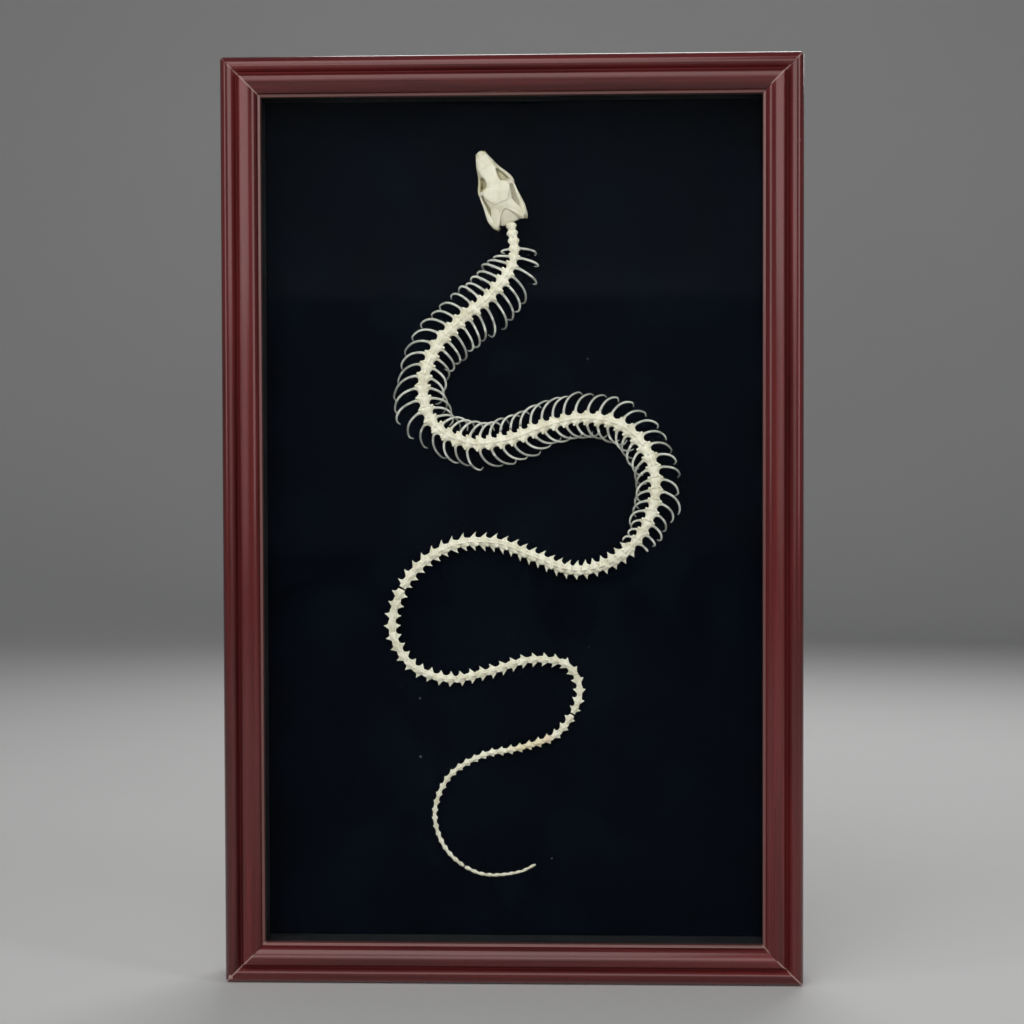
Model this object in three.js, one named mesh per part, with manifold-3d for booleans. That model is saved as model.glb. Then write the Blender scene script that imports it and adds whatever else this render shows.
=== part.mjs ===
// The skeleton of a legless lizard, mounted on black velvet in a glazed wall case.
// Millimetres, with X to the right, Y into the wall and Z up.
// The origin is on the wall, behind the middle of the hanger on the top rail.

import * as THREE from "three";
import { mergeVertices } from "three/addons/utils/BufferGeometryUtils.js";
import Module from "manifold-3d";

const wasm = await Module();
wasm.setup();

// Air left between neighbouring pieces
const gap = 0.3;

// Case: outer size, and the rails' section measured inward from their outer face
const frameWidth = 232;
const frameHeight = 371;
const railWidth = 16.2;
const railWall = 11.5;
const cornerRadius = 2.3;
const hangerDrop = 8;

// Case: depths from the wall to the front, as positive distances
const railBack = 1.5;
const backBoardBack = 1.8;
const backBoardThickness = 2.4;
const velvetThickness = 3;
const velvetFront = 7.5;
const glassThickness = 2;
const lipBack = 25.5;
const spacerThickness = 3;

// Rail face: the round outer member, the hollow beside it, the broad band and the lip
const roundRadius = 4.5;
const roundCrest = 31.4;
const roundWidth = 4.9;
const hollowRim = 30.9;
const hollowBend = [6.6, 29.4];
const bandStart = 8.2;
const bandEdge = 32.5;
const bandCrest = 33;
const bandRound = 0.5;
const bandEnd = 12.4;
const bandFall = 0.7;
const bandBend = 1.6;
const lipFront = 29.2;
const lipWidth = 1.1;
const lipRise = 0.7;

// Fittings on the back
const hangerSize = { width: 46, height: 9, thickness: 1.2 };
const hangerTeeth = { count: 6, pitch: 4, height: 1.6 };
const bumperSize = { radius: 4.5, thickness: 1.2, inset: 8 };
const tabSize = { length: 18, width: 7, thickness: 0.6, screwRadius: 1.9, screwHeight: 0.4 };
const tabHeights = [-0.33, 0, 0.33];
const discSides = 12;

// Skull: snout tip and rear end of the braincase, seen from the front, from the window's middle
const snoutTip = [-12.9, 150.3];
const condyle = [-0.5, 120.8];
const skullRoll = THREE.MathUtils.degToRad(7);
const skullLift = 0.9;
const skullMiddleRise = 4.6;
// How far the snout stands to the left of the skull's middle line, the distance behind its tip up
// to which it does so in full, and the one from which the skull is straight
const snoutShift = { left: 0.65, full: 7, none: 12 };
const toothSize = { radius: 0.35, tipRadius: 0.14, length: 1.3, lean: 0.2, count: 8 };

// Spine: its way through the case seen from the front, from the window's middle, head to tail
const route = [
  [-0.5, 120.5],
  [0.5, 105.5],
  [-8.5, 91.5],
  [-20.8, 81.3],
  [-31.4, 69.2],
  [-36.2, 54],
  [-31.6, 39],
  [-17.5, 31.7],
  [-1.5, 33],
  [13.7, 38.5],
  [29.5, 41.5],
  [45, 37.7],
  [55.3, 25.7],
  [57.5, 10],
  [52, -5.2],
  [40.4, -16.3],
  [25, -20.2],
  [9.6, -15.2],
  [-5.6, -9.4],
  [-21.8, -9.3],
  [-36.3, -16.6],
  [-46.4, -29.5],
  [-49.5, -45.5],
  [-41.8, -59.2],
  [-26.6, -64.8],
  [-10.7, -62],
  [5, -57.3],
  [13.2, -57],
  [21.2, -58.8],
  [26, -65],
  [26.4, -73],
  [18, -87],
  [3, -93],
  [-13, -96.4],
  [-26.6, -105],
  [-32.7, -120.3],
  [-27.7, -135.6],
  [-14.5, -145],
  [1.6, -144.5],
  [9.3, -141],
];

// Vertebrae by distance behind the skull: length, half widths at the joints and at the waist,
// half height, reach of the side spines of the tail and how far they lean to the head as a share
// of the vertebra's length, height over the velvet
const stations = [
  { at: 0, length: 3, joint: 2.35, waist: 2, tall: 1.6, reach: 0, lean: 0, rise: 5.7 },
  { at: 8, length: 3.3, joint: 2.4, waist: 2.1, tall: 1.6, reach: 0, lean: 0, rise: 6.6 },
  { at: 16, length: 3.6, joint: 2.6, waist: 2.2, tall: 1.7, reach: 0, lean: 0, rise: 7.8 },
  { at: 26, length: 3.9, joint: 3.3, waist: 2.4, tall: 1.7, reach: 0, lean: 0, rise: 9.1 },
  { at: 60, length: 4.5, joint: 3.4, waist: 2.5, tall: 1.8, reach: 0, lean: 0, rise: 9.6 },
  { at: 148, length: 4.5, joint: 3.1, waist: 2.3, tall: 1.8, reach: 0, lean: 0, rise: 9.5 },
  { at: 200, length: 4.6, joint: 3.3, waist: 2.5, tall: 1.8, reach: 0, lean: 0, rise: 9.4 },
  { at: 218, length: 4.4, joint: 3, waist: 2.3, tall: 1.8, reach: 2, lean: 0, rise: 8.2 },
  { at: 229, length: 4, joint: 2.7, waist: 2.1, tall: 1.8, reach: 4.1, lean: -0.1, rise: 7 },
  { at: 250, length: 3.8, joint: 2.4, waist: 1.8, tall: 1.7, reach: 4, lean: 0.1, rise: 5.2 },
  { at: 262, length: 3.9, joint: 2.3, waist: 1.7, tall: 1.6, reach: 4, lean: 0.3, rise: 4.8 },
  { at: 300, length: 4.2, joint: 2.1, waist: 1.5, tall: 1.3, reach: 4, lean: 0.4, rise: 3.4 },
  { at: 350, length: 4.5, joint: 1.8, waist: 1.3, tall: 1.1, reach: 3.5, lean: 0.4, rise: 3 },
  { at: 460, length: 4.2, joint: 1.3, waist: 0.9, tall: 0.9, reach: 2.6, lean: 0.4, rise: 2.2 },
  { at: 540, length: 3.3, joint: 0.8, waist: 0.5, tall: 0.6, reach: 1.2, lean: 0.4, rise: 1.3 },
  { at: 592, length: 2.9, joint: 0.5, waist: 0.35, tall: 0.45, reach: 0.6, lean: 0.4, rise: 0.9 },
];

// Lengths into which the spine is divided, by the distance at which each starts
const neckEnd = 8;
const trunkLengths = { trunk_front: neckEnd, trunk_middle: 62, trunk_rear: 148 };
const tailStart = 231;
const tailLengths = {
  tail_base: tailStart,
  tail_front: 337,
  tail_middle: 397,
  tail_rear: 457,
  tail_tip: 562,
};

// Ribs by distance behind the skull: reach from the middle line, and sweep to the rear. The two
// sides differ, since the ribs inside a bend lie closer and longer along the spine.
const ribRows = {
  right: [
    { at: 10, reach: 8.2, sweep: 2.5 },
    { at: 14, reach: 9.9, sweep: 1.8 },
    { at: 21, reach: 12, sweep: 7 },
    { at: 32, reach: 12.4, sweep: 7 },
    { at: 58, reach: 11.6, sweep: 5.6 },
    { at: 67, reach: 8.9, sweep: 6.6 },
    { at: 76, reach: 9.2, sweep: 9.6 },
    { at: 114, reach: 9, sweep: 8.5 },
    { at: 130, reach: 9.2, sweep: 10 },
    { at: 139, reach: 9.6, sweep: 11 },
    { at: 166, reach: 9.8, sweep: 7.6 },
    { at: 185, reach: 9.2, sweep: 9 },
    { at: 203, reach: 9.5, sweep: 4.8 },
    { at: 212, reach: 10, sweep: 7 },
    { at: 221, reach: 8, sweep: 5 },
    { at: 229, reach: 6.3, sweep: 0.8 },
    { at: 233, reach: 5.4, sweep: 1.4 },
  ],
  left: [
    { at: 10, reach: 5, sweep: 1.2 },
    { at: 14, reach: 8.4, sweep: 2 },
    { at: 21, reach: 10.5, sweep: 4 },
    { at: 32, reach: 10.6, sweep: 4.5 },
    { at: 58, reach: 10.5, sweep: 9 },
    { at: 71, reach: 10.1, sweep: 12 },
    { at: 85, reach: 12.4, sweep: 9.2 },
    { at: 94, reach: 8.8, sweep: 8 },
    { at: 112, reach: 9.8, sweep: 7.8 },
    { at: 130, reach: 9.1, sweep: 9 },
    { at: 139, reach: 8.2, sweep: 9.4 },
    { at: 170, reach: 8.3, sweep: 9.4 },
    { at: 194, reach: 8.6, sweep: 8.5 },
    { at: 217, reach: 6.9, sweep: 7.8 },
    { at: 225, reach: 4.6, sweep: 4.2 },
    { at: 233, reach: 5, sweep: 2.8 },
  ],
};
// How far single ribs differ from these, the angle that a rib bends through, and its half thickness
// from head to tip
const ribReachSpread = 0.08;
const ribSweepSpread = 0.14;
const ribBend = THREE.MathUtils.degToRad(112);
const ribRadii = [0.75, 0.52, 0.46, 0.45, 0.4, 0.32];
const ribSteps = 5;
// Where a rib leaves its vertebra, how deep its head is sunk, and how high its tip ends
const ribPlace = 0.26;
const ribRootDepth = 1.5;
const ribRootDrop = 0.2;
const ribTipRise = 0.7;
// Share of the sweep that follows the bend, and the reach from which a rib goes down to the velvet
const ribCurl = 0.5;
const fullRibReach = 8;

// Colours, roughness and metalness
const finishes = {
  bone: { color: 0xe1dcc3, roughness: 0.55, metalness: 0 },
  mahogany: { color: 0x5a2023, roughness: 0.25, metalness: 0 },
  glass: { color: 0xdfe8ea, roughness: 0.05, metalness: 0, transparent: true, opacity: 0.25 },
  velvet: { color: 0x070b13, roughness: 0.95, metalness: 0 },
  blackCard: { color: 0x0c0c0e, roughness: 0.9, metalness: 0 },
  backCard: { color: 0x8a6f4c, roughness: 0.85, metalness: 0 },
  steel: { color: 0xa8a8a6, roughness: 0.4, metalness: 0.9 },
  rubber: { color: 0x1a1a1a, roughness: 0.85, metalness: 0 },
};

const part = new THREE.Group();
const middle = hangerDrop - frameHeight / 2;

// A fixed sequence of numbers from 0 to 1, for the small differences between like pieces
let seed = 20;
function chance() {
  seed = (seed * 16807) % 2147483647;
  return seed / 2147483647;
}

// A closed solid from a closed geometry, its faces turned outward where they point in
function solidOf(geometry) {
  geometry.deleteAttribute("normal");
  geometry.deleteAttribute("uv");
  const merged = mergeVertices(geometry, 1e-4);
  const vertProperties = new Float32Array(merged.getAttribute("position").array);
  const triVerts = new Uint32Array(merged.index.array);
  const solid = new wasm.Manifold(new wasm.Mesh({ numProp: 3, vertProperties, triVerts }));
  if (solid.volume() > 0) {
    return solid;
  }
  triVerts.reverse();
  return new wasm.Manifold(new wasm.Mesh({ numProp: 3, vertProperties, triVerts }));
}

// The largest body of a solid, as a named mesh of the part
function addMesh(name, solid, finish) {
  const bodies = solid.decompose().sort((a, b) => b.volume() - a.volume());
  const mesh = bodies[0].getMesh();
  const geometry = new THREE.BufferGeometry();
  geometry.setAttribute("position", new THREE.BufferAttribute(mesh.vertProperties, 3));
  geometry.setIndex(new THREE.BufferAttribute(mesh.triVerts, 1));
  geometry.computeVertexNormals();
  const named = new THREE.Mesh(geometry, new THREE.MeshStandardMaterial(finishes[finish]));
  named.name = name;
  part.add(named);
}

// One solid of several that are rooted in one another
function joined(solids) {
  return solids.reduce((whole, piece) => whole.add(piece));
}

// A closed solid through rings of equally many corners: a cylinder whose corners move to the rings
function lofted(rings) {
  const sides = rings[0].length;
  const steps = rings.length - 1;
  const geometry = new THREE.CylinderGeometry(1, 1, 1, sides, steps);
  const position = geometry.getAttribute("position");
  const corner = new THREE.Vector3();
  for (let i = 0; i < position.count; i++) {
    corner.fromBufferAttribute(position, i);
    const ring = rings[Math.round((0.5 - corner.y) * steps)];
    const turn = Math.atan2(corner.x, corner.z) / (2 * Math.PI);
    const onAxis = Math.hypot(corner.x, corner.z) < 0.5;
    const place = onAxis ? centreOf(ring) : ring[(Math.round(turn * sides) + sides) % sides];
    position.setXYZ(i, place.x, place.y, place.z);
  }
  return solidOf(geometry);
}

function centreOf(ring) {
  const sum = ring.reduce((total, corner) => total.add(corner), new THREE.Vector3());
  return sum.divideScalar(ring.length);
}

// A value between listed ones, for a share from 0 to 1 of the whole list
function listedAt(values, share) {
  const place = share * (values.length - 1);
  const index = Math.min(Math.floor(place), values.length - 2);
  return THREE.MathUtils.lerp(values[index], values[index + 1], place - index);
}

// Share of a direction's length towards the front from which a bar counts as running forward
const steepBar = 0.9;

// A tapering bar along a smooth path, wide across the path and thick towards the front
function bar(points, widths, { steps = 4, sides = 4, thickness = 1 } = {}) {
  const path = new THREE.CatmullRomCurve3(points);
  const rings = [];
  for (let step = 0; step <= steps; step++) {
    const share = step / steps;
    const centre = path.getPoint(share);
    const forward = path.getTangent(share);
    const across = new THREE.Vector3().crossVectors(forward, barNormal(forward)).normalize();
    const over = new THREE.Vector3().crossVectors(across, forward);
    const radius = listedAt(widths, share);
    const ring = [];
    for (let side = 0; side < sides; side++) {
      const angle = (2 * Math.PI * (side + 0.5)) / sides;
      const corner = centre.clone();
      corner.addScaledVector(across, radius * Math.cos(angle));
      corner.addScaledVector(over, radius * thickness * Math.sin(angle));
      ring.push(corner);
    }
    rings.push(ring);
  }
  return lofted(rings);
}

// The direction that a bar's thickness faces: the front, or up where the bar itself runs forward
function barNormal(forward) {
  const runsForward = Math.abs(forward.y) > steepBar;
  return runsForward ? new THREE.Vector3(0, 0, 1) : new THREE.Vector3(0, -1, 0);
}

// A flat-sided block by its lowest and highest corners
function block(low, high) {
  const geometry = new THREE.BoxGeometry(high[0] - low[0], high[1] - low[1], high[2] - low[2]);
  geometry.translate((low[0] + high[0]) / 2, (low[1] + high[1]) / 2, (low[2] + high[2]) / 2);
  return solidOf(geometry);
}

// A slab by an outline seen from the front, between two distances from the wall
function slab(shape, back, front, curveSegments = 6) {
  const options = { depth: front - back, bevelEnabled: false, curveSegments };
  const geometry = new THREE.ExtrudeGeometry(shape, options);
  geometry.rotateX(Math.PI / 2);
  geometry.translate(0, -back, 0);
  return solidOf(geometry);
}

// Case: the rails' section, inward across the face and forward from the wall
function railSection() {
  const lipStart = railWidth - lipWidth;
  const bandInner = bandCrest - bandFall;
  const section = new THREE.Shape();
  section.moveTo(0, railBack);
  section.lineTo(0, roundCrest - roundRadius);
  section.absarc(roundRadius, roundCrest - roundRadius, roundRadius, Math.PI, Math.PI / 2, true);
  section.lineTo(roundWidth, roundCrest);
  section.lineTo(roundWidth, hollowRim);
  section.quadraticCurveTo(hollowBend[0], hollowBend[1], bandStart, bandEdge);
  section.lineTo(bandStart + bandRound, bandCrest);
  section.lineTo(bandEnd - bandBend, bandCrest - bandFall / 2);
  section.quadraticCurveTo(bandEnd, bandInner, bandEnd + bandBend, bandInner - bandBend);
  section.lineTo(lipStart, lipFront + lipRise);
  section.lineTo(lipStart, lipFront);
  section.lineTo(railWidth, lipFront);
  section.lineTo(railWidth, lipBack);
  section.lineTo(railWall, lipBack);
  section.lineTo(railWall, railBack);
  return section;
}

// A rail of the given outer length with mitred ends, its outer face at the given distance
function rail(length, distance, turn) {
  const options = { depth: length, bevelEnabled: false, curveSegments: 4 };
  const geometry = new THREE.ExtrudeGeometry(railSection(), options);
  geometry.translate(0, 0, -length / 2);
  const position = geometry.getAttribute("position");
  for (let i = 0; i < position.count; i++) {
    const inward = position.getX(i);
    const end = Math.sign(position.getZ(i));
    const along = end * (length / 2 - inward - gap * Math.SQRT1_2);
    position.setXYZ(i, along, -position.getY(i), distance - inward);
  }
  geometry.rotateY(turn);
  geometry.translate(0, 0, middle);
  return solidOf(geometry);
}

// The case seen from the front, with its rounded corners
function frameOutline() {
  const x = frameWidth / 2;
  const z = frameHeight / 2;
  const r = cornerRadius;
  const outline = new THREE.Shape();
  outline.moveTo(-x + r, -z);
  outline.absarc(x - r, -z + r, r, -Math.PI / 2, 0, false);
  outline.absarc(x - r, z - r, r, 0, Math.PI / 2, false);
  outline.absarc(-x + r, z - r, r, Math.PI / 2, Math.PI, false);
  outline.absarc(-x + r, -z + r, r, Math.PI, 1.5 * Math.PI, false);
  return outline;
}

function addFrame() {
  const outline = slab(frameOutline(), 0, bandCrest + 1, 4).translate([0, 0, middle]);
  const quarter = Math.PI / 2;
  const solids = [
    ["rail_top", rail(frameWidth, frameHeight / 2, 0)],
    ["rail_right", rail(frameHeight, frameWidth / 2, quarter)],
    ["rail_bottom", rail(frameWidth, frameHeight / 2, 2 * quarter)],
    ["rail_left", rail(frameHeight, frameWidth / 2, 3 * quarter)],
  ];
  for (const [name, solid] of solids) {
    addMesh(name, solid.intersect(outline), "mahogany");
  }
}

// Sheets behind the lip: the glass, the velvet board and the backing, and the walls between
function addSheets() {
  const x = frameWidth / 2 - railWall - gap;
  const z = frameHeight / 2 - railWall - gap;
  const sheet = (back, front) => block([-x, -front, middle - z], [x, -back, middle + z]);
  const glassFront = lipBack - gap;
  const glassBack = glassFront - glassThickness;
  addMesh("glass", sheet(glassBack, glassFront), "glass");
  addMesh("velvet_board", sheet(velvetFront - velvetThickness, velvetFront), "velvet");
  const backBoardFront = backBoardBack + backBoardThickness;
  addMesh("back_board", sheet(backBoardBack, backBoardFront), "backCard");
  const wallFront = -(glassBack - gap);
  const wallBack = -(velvetFront + gap);
  const innerX = x - spacerThickness;
  const innerZ = z - spacerThickness;
  const ends = innerZ - gap;
  const walls = [
    ["wall_left", [-x, -ends], [-innerX, ends]],
    ["wall_right", [innerX, -ends], [x, ends]],
    ["wall_bottom", [-x, -z], [x, -innerZ]],
    ["wall_top", [-x, innerZ], [x, z]],
  ];
  for (const [name, low, high] of walls) {
    const lowest = [low[0], wallFront, middle + low[1]];
    const highest = [high[0], wallBack, middle + high[1]];
    addMesh(name, block(lowest, highest), "blackCard");
  }
}

// A sawtooth hanger: a plate with teeth along its lower edge, which rest on the nail
function addHanger() {
  const { width, height, thickness } = hangerSize;
  const lower = -height / 2;
  const firstTooth = (-hangerTeeth.count * hangerTeeth.pitch) / 2;
  const outline = new THREE.Shape();
  outline.moveTo(-width / 2, lower);
  for (let tooth = 0; tooth < hangerTeeth.count; tooth++) {
    const start = firstTooth + tooth * hangerTeeth.pitch;
    outline.lineTo(start, lower);
    outline.lineTo(start + hangerTeeth.pitch / 2, lower + hangerTeeth.height);
  }
  outline.lineTo(-firstTooth, lower);
  outline.lineTo(width / 2, lower);
  outline.lineTo(width / 2, -lower);
  outline.lineTo(-width / 2, -lower);
  addMesh("wall_hanger", slab(outline, 0, thickness), "steel");
}

function disc(x, z, radius, back, front) {
  const geometry = new THREE.CylinderGeometry(radius, radius, front - back, discSides);
  geometry.translate(x, -(back + front) / 2, z);
  return solidOf(geometry);
}

function addBumpers() {
  const { radius, thickness, inset } = bumperSize;
  const x = frameWidth / 2 - inset;
  const z = middle - frameHeight / 2 + inset;
  addMesh("bumper_left", disc(-x, z, radius, 0, thickness), "rubber");
  addMesh("bumper_right", disc(x, z, radius, 0, thickness), "rubber");
}

// Turn tabs that hold the backing: a screw in the rail and a blade over the board's edge
function addTabs() {
  const { length, width, thickness, screwRadius, screwHeight } = tabSize;
  const front = railBack - gap;
  const back = front - thickness;
  const reach = length - width;
  const screwX = frameWidth / 2 - railWall / 2;
  const blade = new THREE.Shape();
  blade.absarc(reach / 2, 0, width / 2, -Math.PI / 2, Math.PI / 2, false);
  blade.absarc(-reach / 2, 0, width / 2, Math.PI / 2, 1.5 * Math.PI, false);
  tabHeights.forEach((share, row) => {
    for (const [side, sign] of [["left", -1], ["right", 1]]) {
      const plate = slab(blade, back, front, 5).translate([(-sign * reach) / 2, 0, 0]);
      const screw = disc(0, 0, screwRadius, back - screwHeight, back + thickness / 2);
      const place = [sign * screwX, 0, middle + share * frameHeight];
      addMesh(`tab_${side}_${row + 1}`, plate.add(screw).translate(place), "steel");
    }
  });
}

// Skull: a point by its distance behind the snout, its offset to the animal's right and its height
const skullAxis = new THREE.Vector3(condyle[0] - snoutTip[0], 0, condyle[1] - snoutTip[1]);
skullAxis.normalize();
const skullRight = new THREE.Vector3(-skullAxis.z, 0, skullAxis.x);
const skullUp = new THREE.Vector3(0, -1, 0);
skullUp.applyAxisAngle(skullAxis, skullRoll);
skullRight.applyAxisAngle(skullAxis, skullRoll);

function skullPoint(behind, right, rise) {
  const depth = -velvetFront - skullLift - skullMiddleRise;
  const point = new THREE.Vector3(snoutTip[0], depth, middle + snoutTip[1]);
  const { left, full, none } = snoutShift;
  const shift = left * THREE.MathUtils.clamp((none - behind) / (none - full), 0, 1);
  point.addScaledVector(skullAxis, behind);
  point.addScaledVector(skullRight, right - shift);
  return point.addScaledVector(skullUp, rise - skullMiddleRise);
}

// A closed form through sections: distance behind the snout, half width, lowest and highest side.
// Less roundness makes the sections squarer.
function skullForm(sections, sides, roundness) {
  const rings = sections.map(([behind, halfWidth, low, high]) => {
    const ring = [];
    for (let side = 0; side < sides; side++) {
      const angle = (2 * Math.PI * (side + 0.5)) / sides;
      const across = Math.sign(Math.cos(angle)) * Math.abs(Math.cos(angle)) ** roundness;
      const over = Math.sign(Math.sin(angle)) * Math.abs(Math.sin(angle)) ** roundness;
      const rise = (low + high) / 2 + ((high - low) / 2) * over;
      ring.push(skullPoint(behind, halfWidth * across, rise));
    }
    return ring;
  });
  return lofted(rings);
}

// The same bar of bone on both sides of the head
function pairedBar(points, widths, options) {
  return [-1, 1].map((sign) =>
    bar(points.map(([behind, out, rise]) => skullPoint(behind, sign * out, rise)), widths, options),
  );
}

function snout() {
  const sections = [
    [0.7, 1.3, 3.7, 4.8],
    [1.3, 2, 3.4, 5.6],
    [2.8, 2.8, 3.3, 6.3],
    [5, 3.5, 3.3, 7],
    [8, 4, 3.3, 7.8],
    [10.4, 4.4, 3.6, 8.1],
  ];
  return skullForm(sections, 10, 0.75);
}

// The roof from the brow to the rear edge, pinched between the eye holes
function skullRoof() {
  const sections = [
    [9, 3.3, 6.3, 8.1],
    [12.5, 3, 7, 8.7],
    [15, 3.4, 7.2, 9],
    [17, 6, 7, 9.3],
    [20, 5.9, 6.5, 9.5],
    [23.5, 5.4, 6.3, 9.3],
    [26.2, 4.9, 6.2, 8.7],
  ];
  return skullForm(sections, 8, 0.85);
}

function braincase() {
  const sections = [
    [15, 1.2, 4, 7.6],
    [19, 2.4, 3.4, 7.8],
    [24.5, 3.2, 3.1, 7.7],
    [28, 4.9, 3.2, 7.1],
    [31.2, 5.2, 3.6, 6.2],
    [32.2, 3.4, 4.2, 5.6],
  ];
  return skullForm(sections, 8, 0.8);
}

// Thin bones that leave the eye holes, the cheek slits and the palate open between them, with
// their middle lines as distance behind the snout, offset and height
function skullBars() {
  const cheekBone = [
    [6.5, 3.1, 4.2],
    [11.5, 5, 4.1],
    [15.2, 6.7, 4.5],
    [17.6, 7.1, 5.7],
  ];
  const browStrut = [
    [17.7, 7, 5.6],
    [17.4, 6.4, 7.4],
    [17.8, 4.6, 8.3],
  ];
  const upperArch = [
    [17.2, 6.9, 5.8],
    [22, 6.8, 6.6],
    [27, 7.1, 7],
    [31, 6.4, 6.9],
  ];
  const roofHorn = [
    [22.5, 3.3, 8.1],
    [27, 4, 7.7],
    [32.2, 5.4, 6.6],
  ];
  const jawHanger = [
    [30.4, 6.8, 7.2],
    [29.6, 6.9, 5.8],
    [31.4, 6.3, 4.4],
  ];
  const palateBar = [
    [9, 2.2, 3.9],
    [16.5, 3.2, 3.7],
    [24, 4.2, 3.8],
    [31, 6.2, 4.4],
  ];
  const palateStrut = [
    [16.6, 3, 3.7],
    [15.6, 5, 3.8],
    [15.6, 6.8, 4.6],
  ];
  const keel = [
    [9, 0, 4.6],
    [13, 0, 4.8],
    [17.5, 0, 5],
  ];
  return [
    ...pairedBar(cheekBone, [0.8, 0.8, 0.8, 0.8], { thickness: 1.2 }),
    ...pairedBar(browStrut, [0.9, 0.9, 1], { steps: 3 }),
    ...pairedBar(upperArch, [0.8, 1.1, 1.2, 1.3], { thickness: 1.1 }),
    ...pairedBar(roofHorn, [2.8, 2, 1], { steps: 3, thickness: 0.5 }),
    ...pairedBar(jawHanger, [1.2, 1.2, 1.3], { steps: 3 }),
    ...pairedBar(palateBar, [0.7, 0.7, 0.6, 0.6]),
    ...pairedBar(palateStrut, [0.6, 0.55, 0.6], { steps: 2 }),
    bar(keel.map((place) => skullPoint(...place)), [0.8, 0.6, 0.9], { steps: 2 }),
  ];
}

// The upper teeth of both sides, set in the rim of the snout and the cheek bone
function teeth() {
  const { radius, tipRadius, length, lean, count } = toothSize;
  const rim = new THREE.CatmullRomCurve3([
    new THREE.Vector3(1.2, 1.9, 3.7),
    new THREE.Vector3(5, 3, 3.6),
    new THREE.Vector3(9, 3.9, 3.7),
    new THREE.Vector3(13.6, 5.6, 3.9),
  ]);
  const cones = [];
  for (let tooth = 0; tooth < count; tooth++) {
    const root = rim.getPointAt(tooth / (count - 1));
    for (const sign of [-1, 1]) {
      const top = skullPoint(root.x, sign * root.y, root.z);
      const tip = skullPoint(root.x + lean, sign * root.y, root.z - length);
      cones.push(bar([top, tip], [radius, tipRadius], { steps: 1, sides: 3 }));
    }
  }
  return cones;
}

// Both halves of the lower jaw, from one joint round the chin to the other
function lowerJaw() {
  const half = [
    [32.5, 5.8, 2.1],
    [28, 6.8, 2],
    [22, 6.8, 2],
    [17, 6, 1.9],
    [11, 3.9, 1.7],
    [5, 2.2, 1.7],
    [1.8, 1.2, 1.8],
  ];
  const chin = [[1, 0, 1.9]];
  const other = half.toReversed().map(([behind, out, rise]) => [behind, -out, rise]);
  const points = [...half, ...chin, ...other].map((place) => skullPoint(...place));
  const halfWidths = [0.9, 0.8, 0.75, 0.6, 0.55, 0.5];
  const widths = [...halfWidths, 0.5, ...halfWidths.toReversed()];
  return bar(points, widths, { steps: 22, thickness: 1.8 });
}

function addSkull() {
  addMesh("skull", joined([snout(), skullRoof(), braincase(), ...skullBars(), ...teeth()]), "bone");
  addMesh("lower_jaw", lowerJaw(), "bone");
}

// Spine: the smooth line through the route, at the height that its distance behind the skull gives
const flatRoute = new THREE.CatmullRomCurve3(
  route.map(([x, z]) => new THREE.Vector3(x, 0, middle + z)),
  false,
  "centripetal",
);
flatRoute.arcLengthDivisions = 4000;
const spineLength = flatRoute.getLength();

// A named value between the rows on both sides of a distance
function rowAt(rows, distance, name) {
  const after = rows.slice(1).find((row) => row.at > distance) ?? rows.at(-1);
  const before = rows[rows.indexOf(after) - 1];
  const share = THREE.MathUtils.clamp((distance - before.at) / (after.at - before.at), 0, 1);
  return THREE.MathUtils.lerp(before[name], after[name], share);
}

function stationAt(distance, name) {
  return rowAt(stations, distance, name);
}

// A point of the spine with its rearward, right and dorsal directions
function spineFrame(distance) {
  const share = THREE.MathUtils.clamp(distance / spineLength, 0, 1);
  const centre = flatRoute.getPointAt(share);
  centre.y = -velvetFront - stationAt(distance, "rise");
  const rear = flatRoute.getTangentAt(share);
  const dorsal = new THREE.Vector3(0, -1, 0);
  const right = new THREE.Vector3().crossVectors(dorsal, rear).normalize();
  return { centre, rear, right, dorsal };
}

function spinePoint(distance, across, over, behind = 0) {
  const { centre, rear, right, dorsal } = spineFrame(distance);
  return centre.addScaledVector(right, across).addScaledVector(dorsal, over).addScaledVector(rear, behind);
}

// Where each vertebra starts and how long it is
function vertebraeOf() {
  const list = [];
  let start = gap;
  while (start < spineLength - stations.at(-1).length) {
    const length = stationAt(start, "length");
    list.push({ start, length });
    start += length;
  }
  return list;
}
const vertebrae = vertebraeOf();

// A vertebra's rings: place along it, width from the waist (0) to the joint (1), dorsal spine
const trunkRings = [
  { place: 0.14, width: 1, tall: 0.85, spine: 0.1 },
  { place: 0.5, width: 0.05, tall: 0.8, spine: 0.35 },
  { place: 0.88, width: 0.5, tall: 1, spine: 0.6 },
];
// The right half of a trunk section, from back to belly: shares of the half width and half height
const halfSection = [
  [0, 1],
  [0.5, 0.8],
  [1, 0.15],
  [0.65, -0.75],
  [0, -1],
];

function halfRing(distance, shape, sign, innerOffset) {
  const waist = stationAt(distance, "waist");
  const halfWidth = THREE.MathUtils.lerp(waist, stationAt(distance, "joint"), shape.width);
  const tall = stationAt(distance, "tall");
  return halfSection.map(([across, over], index) => {
    const offset = Math.max(innerOffset, halfWidth * across);
    const height = tall * over * shape.tall + (index === 0 ? shape.spine : 0);
    return spinePoint(distance, sign * offset, height);
  });
}

// The rings of all vertebrae of a length, closed just short of the next length
function ringsOf(group, shapes, ringAt) {
  const rings = [];
  group.forEach(({ start, length }) => {
    shapes.forEach((shape) => rings.push(ringAt(start + shape.place * length, shape, length)));
  });
  const last = group.at(-1);
  rings.push(ringAt(last.start + last.length - gap, shapes.at(-1), last.length));
  return rings;
}

// One side of a length of trunk, parted from the other by a slit along the middle
function halfColumn(group, sign) {
  const ringAt = (distance, shape) => halfRing(distance, shape, sign, gap / 2);
  return lofted(ringsOf(group, trunkRings, ringAt));
}

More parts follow.
